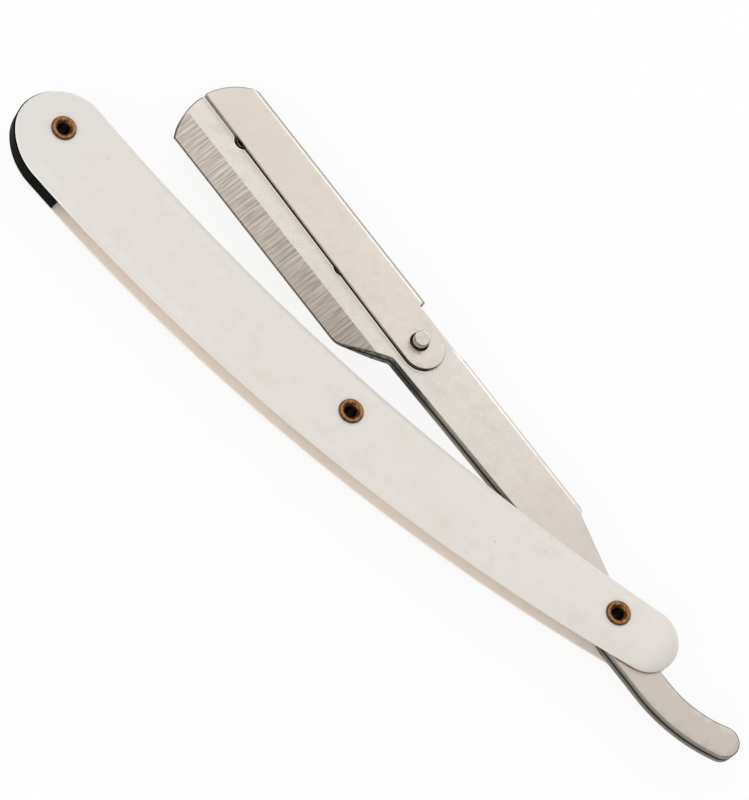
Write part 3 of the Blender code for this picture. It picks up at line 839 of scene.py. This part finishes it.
def pin_profile():
    """A turned pin with a faint ring on each end and rounded shoulders."""
    top = CLIP_OUTER_HALF + PIN_PROUD
    ring = PIN_RING_RADIUS
    end = [(0, top - PIN_GROOVE), (ring / 3, top - PIN_GROOVE / 2), (ring, top - PIN_GROOVE / 3)]
    end += [(ring * 1.15, top - PIN_GROOVE), (ring * 1.3, top)]
    end += [(PIN_RADIUS - inset, top - depth) for inset, depth in edge_steps(PIN_CHAMFER)]
    return mirrored(end)


# Materials

def linear(channel):
    """The linear value of a colour channel as it is seen."""
    if channel <= 0.04045:
        return channel / 12.92
    return ((channel + 0.055) / 1.055) ** 2.4


def seen(red, green, blue):
    """A colour from its seen values, 0 to 255."""
    return [linear(c / 255) for c in (red, green, blue)] + [1]


class Recipe:
    """A material's nodes, with short calls to add and join them.

    x, y and z are the place on the piece, turned about Z by an angle. Where a colour is asked
    for, it is a node's output or a tuple of its seen values.
    """

    def __init__(self, name, angle=0):
        self.material = bpy.data.materials.new(name)
        self.material.use_nodes = True
        self.tree = self.material.node_tree
        self.shader = self.tree.nodes["Principled BSDF"]
        self.place = self.add("ShaderNodeTexCoord", {})
        self.x, self.y, self.z = self.axes(self.rotated(angle))

    def add(self, kind, values, **settings):
        """Adds a node and returns its outputs."""
        made = self.tree.nodes.new(kind)
        for key, value in settings.items():
            setattr(made, key, value)
        for key, value in values.items():
            self.give(made.inputs[key], value)
        return made.outputs

    def give(self, socket, value):
        if isinstance(value, bpy.types.NodeSocket):
            self.tree.links.new(value, socket)
        else:
            socket.default_value = value

    def surface(self, colour, rough, bump=None, metal=0.0, specular=0.5):
        """Sets how the surface looks and returns the material."""
        values = {"Base Color": colour, "Roughness": rough, "Metallic": metal}
        values["Specular IOR Level"] = specular
        if bump:
            values["Normal"] = bump
        for key, value in values.items():
            self.give(self.shader.inputs[key], value)
        return self.material

    def axes(self, source):
        return self.add("ShaderNodeSeparateXYZ", {0: source})

    def rotated(self, angle, scale=(1.0, 1.0, 1.0)):
        """The place on the piece turned about Z by an angle, then stretched."""
        values = {"Vector": self.place["Object"], "Rotation": (0, 0, angle)}
        upright = self.add("ShaderNodeMapping", values)[0]
        return self.add("ShaderNodeMapping", {"Vector": upright, "Scale": scale})[0]

    def level(self):
        """Distance from the razor's middle plane."""
        return self.math("ABSOLUTE", self.z)

    def facing(self):
        """One where a face lies flat, none where it stands upright."""
        return self.math("ABSOLUTE", self.axes(self.place["Normal"])[2])

    def noise(self, scale, detail=2.0, rough=0.5, where=None):
        return self.add("ShaderNodeTexNoise", {
            "Vector": where or self.place["Object"],
            "Scale": scale, "Detail": detail, "Roughness": rough,
        })[0]

    def spots(self, scale, near, far, channel, few, many, most=1.0):
        """Small round spots, the most where a cell's random channel passes from few to many."""
        cells = self.add("ShaderNodeTexVoronoi", {"Vector": self.place["Object"], "Scale": scale})
        spot = self.fall(cells["Distance"], near, far)
        some = self.span(self.axes(cells["Color"])[channel], few, many, 0.0, most)
        return self.times(spot, some)

    def math(self, kind, first, second=0.0, third=0.0):
        values = {0: first, 1: second, 2: third}
        return self.add("ShaderNodeMath", values, operation=kind)[0]

    def times(self, first, *others):
        for other in others:
            first = self.math("MULTIPLY", first, other)
        return first

    def rest(self, share):
        """What a share leaves of one."""
        return self.math("SUBTRACT", 1.0, share)

    def span(self, value, low, high, to_low=0.0, to_high=1.0):
        """The value from low to high, spread over another span and held at its ends."""
        values = {0: value, 1: low, 2: high, 3: to_low, 4: to_high}
        return self.add("ShaderNodeMapRange", values)[0]

    def fall(self, value, low, high, most=1.0):
        """The most up to low, nothing from high on."""
        return self.span(value, low, high, most, 0.0)

    def vary(self, noise, low, high):
        """A noise spread from low to high."""
        return self.span(noise, 0.3, 0.7, low, high)

    def mix(self, share, first, second):
        first, second = [seen(*c) if isinstance(c, tuple) else c for c in (first, second)]
        values = {0: share, 6: first, 7: second}
        return self.add("ShaderNodeMix", values, data_type="RGBA")[2]

    def paint(self, colour, *layers):
        """A colour with others laid over it in turn, each (share, colour)."""
        for share, layer in layers:
            colour = self.mix(share, colour, layer)
        return colour

    def bump(self, height, strength, distance, below=None):
        values = {"Strength": strength, "Distance": distance, "Height": height}
        if below:
            values["Normal"] = below
        return self.add("ShaderNodeBump", values)[0]


def scale_plastic():
    """Aged white plastic: clouds, mottling, specks, a greyer rim, a painted highlight along the rim
    at the butt, and inner faces painted lighter to lift the shade between the scales.
    """
    r = Recipe("aged_white_plastic")
    level = r.level()
    rim = GAP_HALF + SCALE_RIM
    # painted highlight: a near-white line along the front scale's rim at the butt
    rim_highlight = r.times(r.fall(level, rim, rim + SCALE_RIM * 1.5), r.span(r.x, *BUTT_HIGHLIGHT, 0.0, 0.9))
    # painted light: the inner faces are lighter and warmer than the plastic, to lift the shade in
    # the gap between the scales
    inner = r.fall(level, GAP_HALF + SCALE_INNER_EDGE / 2, GAP_HALF + SCALE_INNER_EDGE)
    colour = r.paint(
        (227, 221, 215),
        (r.span(r.noise(60, 3), 0.35, 0.65), (224, 218, 211)),
        (r.span(r.noise(330, 4, 0.6), 0.48, 0.72, 0.0, 0.6), (219, 211, 204)),
        (r.span(r.x, *BUTT_GREY, 0.0, 0.7), (220, 217, 213)),
        (r.spots(250, 0.02, 0.08, 0, 0.6, 1.0, 0.75), (178, 146, 120)),
        (r.fall(level, rim, OUTER_FACE - RIM_GREY_DEPTH, 0.5), (222, 216, 210)),
        (rim_highlight, (244, 250, 252)),
        (inner, (250, 241, 230)),
    )
    bump = r.bump(r.noise(120, 2), 0.30, MOULDED_HEIGHT)
    scratch = r.noise(500, 3, 0.6, r.rotated(radians(4), (0.12, 3.0, 1.0)))
    bump = r.bump(scratch, 0.08, SCRATCH_HEIGHT, bump)
    bump = r.bump(r.noise(2600, 2, 0.6), 0.10, GRAIN_HEIGHT, bump)
    return r.surface(colour, r.vary(r.noise(260, 4, 0.6), 0.34, 0.46), bump, specular=0.4)


def spacer_plastic():
    """Black plastic with faint saw marks, worn lighter round its end."""
    r = Recipe("black_spacer_plastic")
    worn = r.times(
        r.span(r.x, *SPACER_WORN_X),
        r.span(r.y, *SPACER_WORN_Y),
        r.fall(r.z, SPACER_HALF * 0.1, SPACER_HALF * 0.7),
    )
    patches = r.span(r.noise(400, 4), 0.4, 0.7)
    colour = r.paint((5, 5, 4), (patches, (14, 14, 12)), (worn, (84, 74, 68)))
    saw = r.noise(900, 2, 0.5, r.rotated(0, (1.0, 1.0, 6.0)))
    bump = r.bump(saw, 0.20, PITTED_HEIGHT)
    return r.surface(colour, r.vary(saw, 0.5, 0.65), bump, specular=0.02)


def aged_brass():
    """Brass lighter on the crest of its flange, wear with a painted highlight, dark at the rim, and
    painted near-black as shade down the bore.
    """
    r = Recipe("aged_brass")
    radius = from_spot(r, at(0, 0))
    crest = (FLANGE_RADIUS + BARREL_RADIUS) / 2
    off_crest = r.math("ABSOLUTE", r.math("SUBTRACT", radius, crest))
    rim = r.span(radius, FLANGE_RADIUS - FLANGE_LIP * 3, FLANGE_RADIUS - FLANGE_LIP / 2, 0.0, 0.75)
    # painted shade: down the bore the brass is painted near-black and made non-metal
    bore_shade = r.fall(r.level(), OUTER_FACE - 3 * FLANGE_LIP, EYELET_SEAT + FLANGE_LIP)
    colour = r.paint(
        (178, 128, 74),
        (r.span(r.noise(700, 5, 0.6), 0.38, 0.6), (128, 84, 44)),
        (r.span(r.noise(1700, 4, 0.65), 0.47, 0.57), (84, 50, 24)),
        # lighter crest all round: wear with a painted highlight
        (r.fall(off_crest, 0.0, FLANGE_HEIGHT, 0.35), (204, 160, 106)),
        (rim, (62, 38, 20)),
        (bore_shade, (14, 9, 6)),
    )
    fine = r.noise(3000, 4, 0.6)
    bump = r.bump(fine, 0.30, PITTED_HEIGHT)
    return r.surface(colour, r.vary(fine, 0.32, 0.55), bump, r.rest(bore_shade), 0.1)


def sheet_grain(r, face, cool, dull, roughness):
    """Satin steel: faint patches, fine grain and a few specks; colour, bump and roughness."""
    grain = r.noise(5200, 2, 0.6)
    colour = r.paint(
        face,
        (r.span(r.noise(90, 4, 0.6), 0.38, 0.68), cool),
        (r.span(r.noise(380, 4, 0.65), 0.50, 0.64, 0.0, 0.45), dull),
        (r.span(grain, 0.42, 0.68, 0.0, 0.8), dull),
        (r.spots(260, 0.012, 0.03, 1, 0.84, 0.88, 0.5), (140, 124, 110)),
    )
    rough = r.vary(r.noise(300, 4, 0.6), roughness - 0.04, roughness + 0.06)
    return colour, r.bump(grain, 0.10, GRAIN_HEIGHT), rough


def edge_shade_layer(r, kept, near):
    """Painted shade on the start of the rounding round a face: the colour near on its near side, a
    darker one on the far side.
    """
    away = r.span(r.axes(r.place["Normal"])[1], -0.05, 0.20)
    return r.times(r.fall(r.facing(), 0.70, 0.94), kept), r.mix(away, near, (44, 38, 32))


def side_share(r):
    """The sheet's cut sides, and not its faces."""
    return r.fall(r.facing(), 0.35, 0.70)


def from_spot(r, spot):
    """Distance from a spot, along the razor's plane."""
    along = r.math("SUBTRACT", r.x, spot.x)
    across = r.math("SUBTRACT", r.y, spot.y)
    return r.math("SQRT", r.math("MULTIPLY_ADD", along, along, r.times(across, across)))


def edge_shade_line(r, centre, radius, side):
    """A painted line of shade just inside a round edge: side +1 where the sheet fills it, -1
    outside it.
    """
    inset = r.times(r.math("SUBTRACT", radius, from_spot(r, centre)), side)
    return r.fall(inset, SHEET_EDGE * 1.2, EDGE_SHADE_WIDTH)


def tip_shade_line(r):
    """The painted shade line round the tip's arc."""
    line = edge_shade_line(r, at(TIP_CENTRE_REACH, -TIP_CENTRE_DROP), TIP_RADIUS, 1)
    return r.times(line, r.fall(r.x, *TIP_LINE_START))


def tail_shade_line(r):
    """The painted shade line along the tail's hollow side and round its tip."""
    _, tip, hollow, hollow_radius = tail_circles()
    side = edge_shade_line(r, hollow, hollow_radius, -1)
    side = r.times(side, r.span(r.x, *TAIL_LINE_START))
    end = edge_shade_line(r, tip, TAIL_TIP_RADIUS, 1)
    start = [tip.x + ahead for ahead in TAIL_TIP_LINE]
    start = r.span(r.y, tip.y - SHEET_EDGE, tip.y + SHEET_EDGE, *start)
    return r.math("MAXIMUM", side, r.times(end, r.math("GREATER_THAN", r.x, start)))


def ground_strip(r):
    """The cross-ground strip along the cutting edge: colour, height of its lines, where it is."""
    along, across, _ = r.axes(r.rotated(REST_OPENING - GRIND_LEAN))
    drawn = r.add("ShaderNodeCombineXYZ", {0: along, 1: r.times(across, GRIND_DRIFT)})[0]
    loose = r.math("MULTIPLY_ADD", r.noise(3800, 2, 0.7, drawn), 0.6, 0.2)
    uneven = r.times(r.noise(900, 2, 0.5, drawn), 12.0)
    wave = r.math("SINE", r.math("MULTIPLY_ADD", along, GRIND_WAVE, uneven))
    lines = r.math("MULTIPLY_ADD", wave, 0.034, loose)
    thin = r.span(lines, 0.38, 0.58)
    by_tip = r.mix(thin, (172, 161, 152), (221, 213, 205))
    by_heel = r.mix(thin, (146, 135, 126), (197, 188, 179))
    strip = r.mix(r.span(r.x, -TIP_CENTRE_REACH, -HEEL_REACH), by_tip, by_heel)
    ragged = r.math("MULTIPLY_ADD", lines, LINE_MARGIN * 2, r.y)
    end = -GRIND_END_REACH - GRIND_RUN_OUT
    on = r.times(
        r.fall(ragged, CREASE_RISE, CREASE_RISE + LINE_MARGIN * 2),
        r.span(r.x, end, end + LINE_MARGIN),
        r.fall(r.x, -SHOULDER_REACH - LINE_MARGIN, -SHOULDER_REACH),
    )
    return strip, lines, on


def below_clip(r):
    """Distance on the leaf from the shut clip's lower edge and round its ear."""
    edge = r.math(
        "MULTIPLY_ADD", r.x, -CLIP_EDGE_SLOPE, CLIP_TIP_RISE - CLIP_EDGE_SLOPE * TIP_END
    )
    straight = r.math("SUBTRACT", edge, r.y)
    ear = at(PIN_REACH - EAR_BEHIND_PIN, PIN_RISE)
    ring = r.math("SUBTRACT", from_spot(r, ear), EAR_RADIUS)
    past = r.math("GREATER_THAN", r.x, ear.x)
    return r.math("MULTIPLY_ADD", past, r.math("SUBTRACT", ring, straight), straight)


def painted_light_marks(r):
    """Painted highlights and a thin painted shadow on the leaf, along the clip and round the stud
    holes.
    """
    below = below_clip(r)
    low = r.fall(r.y, PIN_RISE - EAR_RADIUS / 2, PIN_RISE)
    painted_highlight = r.times(r.fall(below, HIGHLIGHT_WIDTH * 0.6, HIGHLIGHT_WIDTH), low)
    for reach in (TIP_STUD_REACH, HEEL_STUD_REACH):
        beyond = r.math("SUBTRACT", from_spot(r, at(reach, STUD_RISE)), STUD_HOLE_RADIUS)
        ring = r.fall(beyond, HIGHLIGHT_WIDTH * 0.3, HIGHLIGHT_WIDTH * 0.6)
        painted_highlight = r.math("MAXIMUM", painted_highlight, r.times(ring, r.span(r.facing(), 0.5, 0.7)))
    clip_edge_shadow = r.times(
        r.fall(below, SHADOW_LINE_WIDTH, SHADOW_LINE_WIDTH * 1.5),
        r.span(below, -SHADOW_LINE_WIDTH * 2, -SHADOW_LINE_WIDTH),
        r.span(r.x, *SHADOW_LINE_TIP, 1.0, 0.7),
        low,
    )
    return painted_highlight, clip_edge_shadow


def arm_sides(r):
    """The sides of the two leaves, painted darker towards the seam as shade, sooty along the near
    shank, lighter towards the tail.
    """
    # painted shade: each side darkens from its outer face towards the seam
    out = r.span(r.level(), SEAM_HALF + SHEET_EDGE, ARM_HALF - SHEET_EDGE)
    marks = r.span(r.noise(1300, 4, 0.6), 0.34, 0.56)
    soot = r.times(
        r.span(r.x, *SOOT_START),
        r.fall(r.x, *SOOT_END),
        r.span(marks, 0.0, 1.0, 0.75, 1.0),
    )
    heel = r.fall(r.x, *HEEL_END)
    edge = r.times(r.fall(r.y, *EDGE_SIDE), heel)
    side = r.paint(
        r.mix(out, (88, 83, 76), (176, 170, 158)),
        (r.span(r.x, *TAIL_SIDES), r.mix(out, (88, 83, 76), (166, 161, 153))),
        (r.fall(r.z, -SEAM_HALF, SEAM_HALF, 0.4), (112, 109, 103)),
        (r.times(marks, 0.3), (70, 64, 56)),
        (soot, (34, 33, 28)),
        (heel, r.mix(marks, (126, 123, 114), (58, 55, 48))),
        (edge, (98, 94, 87)),
    )
    return side, edge


def leaf_steel():
    """The arm's steel: dulled towards the tail, cross-ground by the edge, dark on its sides, with
    painted shade in its seam, on its fold and round its edges, and painted highlights by the clip.
    """
    r = Recipe("satin_steel", REST_OPENING)
    colour, bump, rough = sheet_grain(r, (222, 216, 209), (216, 210, 203), (203, 195, 187), 0.36)
    strip, lines, on = ground_strip(r)
    bump = r.bump(r.times(lines, on), 0.20, PITTED_HEIGHT, bump)
    rough = r.math("MULTIPLY_ADD", on, 0.06, rough)

    fold = r.times(
        r.span(r.y, FOLD_RISE - FOLD_RADIUS, FOLD_RISE - FOLD_RADIUS / 2),
        r.span(r.x, -FOLD_FAR_REACH - FOLD_RAMP, -FOLD_FAR_REACH),
        r.fall(r.x, -FOLD_NEAR_REACH, -STEP_REACH),
    )
    sharp = r.rest(fold)
    side, edge = arm_sides(r)
    inner = r.fall(r.level(), SEAM_HALF * 1.1, SEAM_HALF + SHEET_EDGE)
    painted_highlight, clip_edge_shadow = painted_light_marks(r)
    colour = r.paint(
        colour,
        (r.span(r.x, *SHANK_DULL, 0.0, 0.6), (200, 189, 180)),
        (r.span(r.x, *TAIL_DULL, 0.0, 0.45), (192, 183, 173)),
        (on, strip),
        # painted shade on the rounded edges round the leaves' faces
        edge_shade_layer(r, sharp, (108, 94, 80)),
        # painted shade lines round the tip and along the tail
        (r.times(r.math("MAXIMUM", tip_shade_line(r), tail_shade_line(r)), 0.8), (92, 82, 72)),
        # on the fold the rounded spine is painted grey as shade; elsewhere the cut sides take their
        # own colours
        (side_share(r), r.mix(fold, side, (112, 108, 102))),
        # painted shade: the leaves' inner faces in the seam are painted near black
        (r.times(inner, sharp, r.rest(edge)), (46, 41, 35)),
        # painted highlight beside the clip and round the stud holes, made non-metal, then the
        # painted shadow under the clip's edge
        (painted_highlight, (255, 254, 250)),
        (clip_edge_shadow, (22, 17, 13)),
    )
    return r.surface(colour, rough, bump, r.rest(painted_highlight))


def clip_steel():
    """The clip's steel, bright along its bend, painted grey as shade on its spine, its cut edges
    warm and painted dark as shade round the ear.
    """
    r = Recipe("clip_satin_steel", REST_OPENING)
    colour, bump, rough = sheet_grain(r, (220, 213, 205), (215, 208, 200), (202, 192, 182), 0.34)
    bend = r.span(r.y, CLIP_BEND_RISE, CLIP_BEND_RISE + CLIP_BEND_RADIUS * 0.2)
    flat = r.rest(bend)
    side = side_share(r)
    edge = r.paint(
        (206, 190, 175),
        (r.span(r.noise(900, 3), 0.35, 0.7), (186, 168, 152)),
        # painted shade on the cut side round the ear
        (r.span(r.x, *EAR_SHADE), (52, 44, 37)),
    )
    colour = r.paint(
        colour,
        (r.span(r.x, *CLIP_DULL, 0.0, 0.6), (207, 199, 189)),
        # painted shade on the rounded edges round the clip's faces
        edge_shade_layer(r, flat, (150, 132, 116)),
        # painted shade line round the clip's tip
        (r.times(tip_shade_line(r), 0.6), (112, 102, 92)),
        (r.times(side, flat), edge),
    )
    # painted shade: the bend is painted grey, darker where it turns further away
    grey = r.paint(
        colour,
        (r.fall(r.facing(), 0.90, 0.985), (170, 168, 162)),
        (r.fall(r.facing(), 0.56, 0.72), (128, 125, 120)),
    )
    rough = r.math("MULTIPLY_ADD", side, 0.14, rough)
    return r.surface(r.mix(bend, colour, grey), rough, bump, 1.0)


def turned_steel(name, tone, shoulder, roughness):
    """Turned steel, its end's rounded shoulder and its side in tones of their own."""
    r = Recipe(name)
    colour = r.paint(
        tone,
        (r.span(r.noise(900, 4, 0.6), 0.40, 0.66, 0.0, 0.6), (184, 177, 170)),
        (r.fall(r.facing(), 0.70, 0.86), shoulder),
        (r.fall(r.facing(), 0.15, 0.40), (190, 184, 176)),
    )
    fine = r.noise(4000, 2)
    rough = r.vary(fine, roughness - 0.05, roughness + 0.05)
    return r.surface(colour, rough, r.bump(fine, 0.04, TURNED_HEIGHT), 1.0)


# Studio

def add_floor():
    """A pale floor: white to the camera and in reflections, plain to the light it throws."""
    shape = bmesh.new()
    bmesh.ops.create_circle(shape, cap_ends=True, radius=FLOOR_RADIUS, segments=128)
    mesh = bpy.data.meshes.new("floor")
    shape.to_mesh(mesh)
    shape.free()
    r = Recipe("floor_white")
    mesh.materials.append(r.surface(seen(250, 250, 250), 0.9, specular=0.0))
    glow = r.add("ShaderNodeEmission", {"Color": (1, 1, 1, 1), "Strength": 1.0})
    path = r.add("ShaderNodeLightPath", {})
    direct = r.math("MAXIMUM", path["Is Camera Ray"], path["Is Glossy Ray"])
    direct = r.math("MAXIMUM", direct, path["Is Transmission Ray"])
    both = r.add("ShaderNodeMixShader", {
        0: r.times(direct, FLOOR_GLOW), 1: r.shader.outputs[0], 2: glow[0],
    })
    r.give(r.tree.nodes["Material Output"].inputs[0], both[0])
    in_scene("floor", mesh)


def add_world():
    """A pale surround, lighter overhead and at the horizon than between."""
    world = bpy.data.worlds.new("studio")
    world.use_nodes = True
    bpy.context.scene.world = world
    nodes, link = world.node_tree.nodes, world.node_tree.links.new
    split = nodes.new("ShaderNodeSeparateXYZ")
    ramp = nodes.new("ShaderNodeValToRGB")
    link(nodes.new("ShaderNodeTexCoord").outputs["Generated"], split.inputs[0])
    link(split.outputs[2], ramp.inputs[0])
    link(ramp.outputs[0], nodes["Background"].inputs[0])
    nodes["Background"].inputs[1].default_value = WORLD_STRENGTH
    stops = ramp.color_ramp.elements
    stops[0].color = stops[1].color = (1, 1, 1, 1)
    for position, grey in WORLD_STOPS:
        stops.new(position).color = (grey, grey, grey, 1)


def add_lamp(name, azimuth, elevation, size, power):
    """A square lamp aimed at the razor; azimuth 0 is the camera's side, 180 behind."""
    back = Vector((sin(azimuth) * cos(elevation), -cos(azimuth) * cos(elevation), sin(elevation)))
    data = bpy.data.lights.new(name, "AREA")
    data.size = size
    data.energy = power
    lamp = in_scene(name, data)
    lamp.location = back * LAMP_DISTANCE
    lamp.rotation_euler = back.to_track_quat("Z", "Y").to_euler()


def add_camera():
    turn = Matrix.Rotation(CAMERA_TURN, 3, "Z")
    look = turn @ Vector((0, sin(CAMERA_TILT), -cos(CAMERA_TILT)))
    rise = turn @ Vector((0, cos(CAMERA_TILT), sin(CAMERA_TILT)))
    side = turn @ Vector((1, 0, 0))
    right = cos(CAMERA_ROLL) * side + sin(CAMERA_ROLL) * rise
    up = cos(CAMERA_ROLL) * rise - sin(CAMERA_ROLL) * side
    data = bpy.data.cameras.new("camera")
    data.lens = CAMERA_LENS
    data.clip_start = CAMERA_DISTANCE / 100
    camera = in_scene("camera", data)
    place = Matrix((right, up, -look)).transposed().to_4x4()
    place.translation = CAMERA_TARGET - look * CAMERA_DISTANCE
    camera.matrix_world = place
    bpy.context.scene.camera = camera


def build():
    pivot = next(joint for joint in frame["joints"] if joint["name"] == "arm_pivot")
    handle = Matrix.Translation(pivot["pos_m"])
    arm = handle @ Matrix.Rotation(-REST_OPENING, 4, "Z")
    plastic = (scale_plastic(), "scale_plastic")
    brass = (aged_brass(), "aged_brass")
    bright = turned_steel("pin_turned_steel", (212, 207, 201), (76, 71, 66), 0.10)
    # the studs' steel is painted dark, as the shade deep in their holes
    dark = turned_steel("stud_turned_steel", (92, 88, 84), (60, 57, 53), 0.28)

    add_scale("front_scale", 1, FRONT_SCALE_SHORT, handle, plastic)
    add_scale("back_scale", -1, 0.0, handle, plastic)
    add_spacer(handle, (spacer_plastic(), "spacer_plastic"))
    spots = eyelet_spots()
    for word, spot in spots.items():
        node = word + "_eyelet"
        add_turned(node + "_brass", eyelet_profile(), handle, spot, brass, node, "handle")
    middle = spots["middle"]
    add_turned("sleeve_tube", sleeve_profile(), handle, middle, brass, "middle_sleeve", "handle")

    add_arm(arm, (leaf_steel(), "satin_steel"))
    for word, reach in (("tip", TIP_STUD_REACH), ("heel", HEEL_STUD_REACH)):
        spot = at(reach, STUD_RISE)
        node = word + "_stud"
        add_turned(node + "_turning", stud_profile(), arm, spot, (dark, "stud_steel"), node, "arm")
    pin = at(PIN_REACH, PIN_RISE)
    add_turned("pin_turning", pin_profile(), arm, pin, (bright, "pin_steel"), "clip_pin", "arm")
    add_clip(arm, (clip_steel(), "clip_steel"))

    add_floor()
    add_world()
    for name, values in LAMPS.items():
        add_lamp(name, *values)
    add_camera()
    bpy.context.scene.view_settings.view_transform = "Standard"


build()
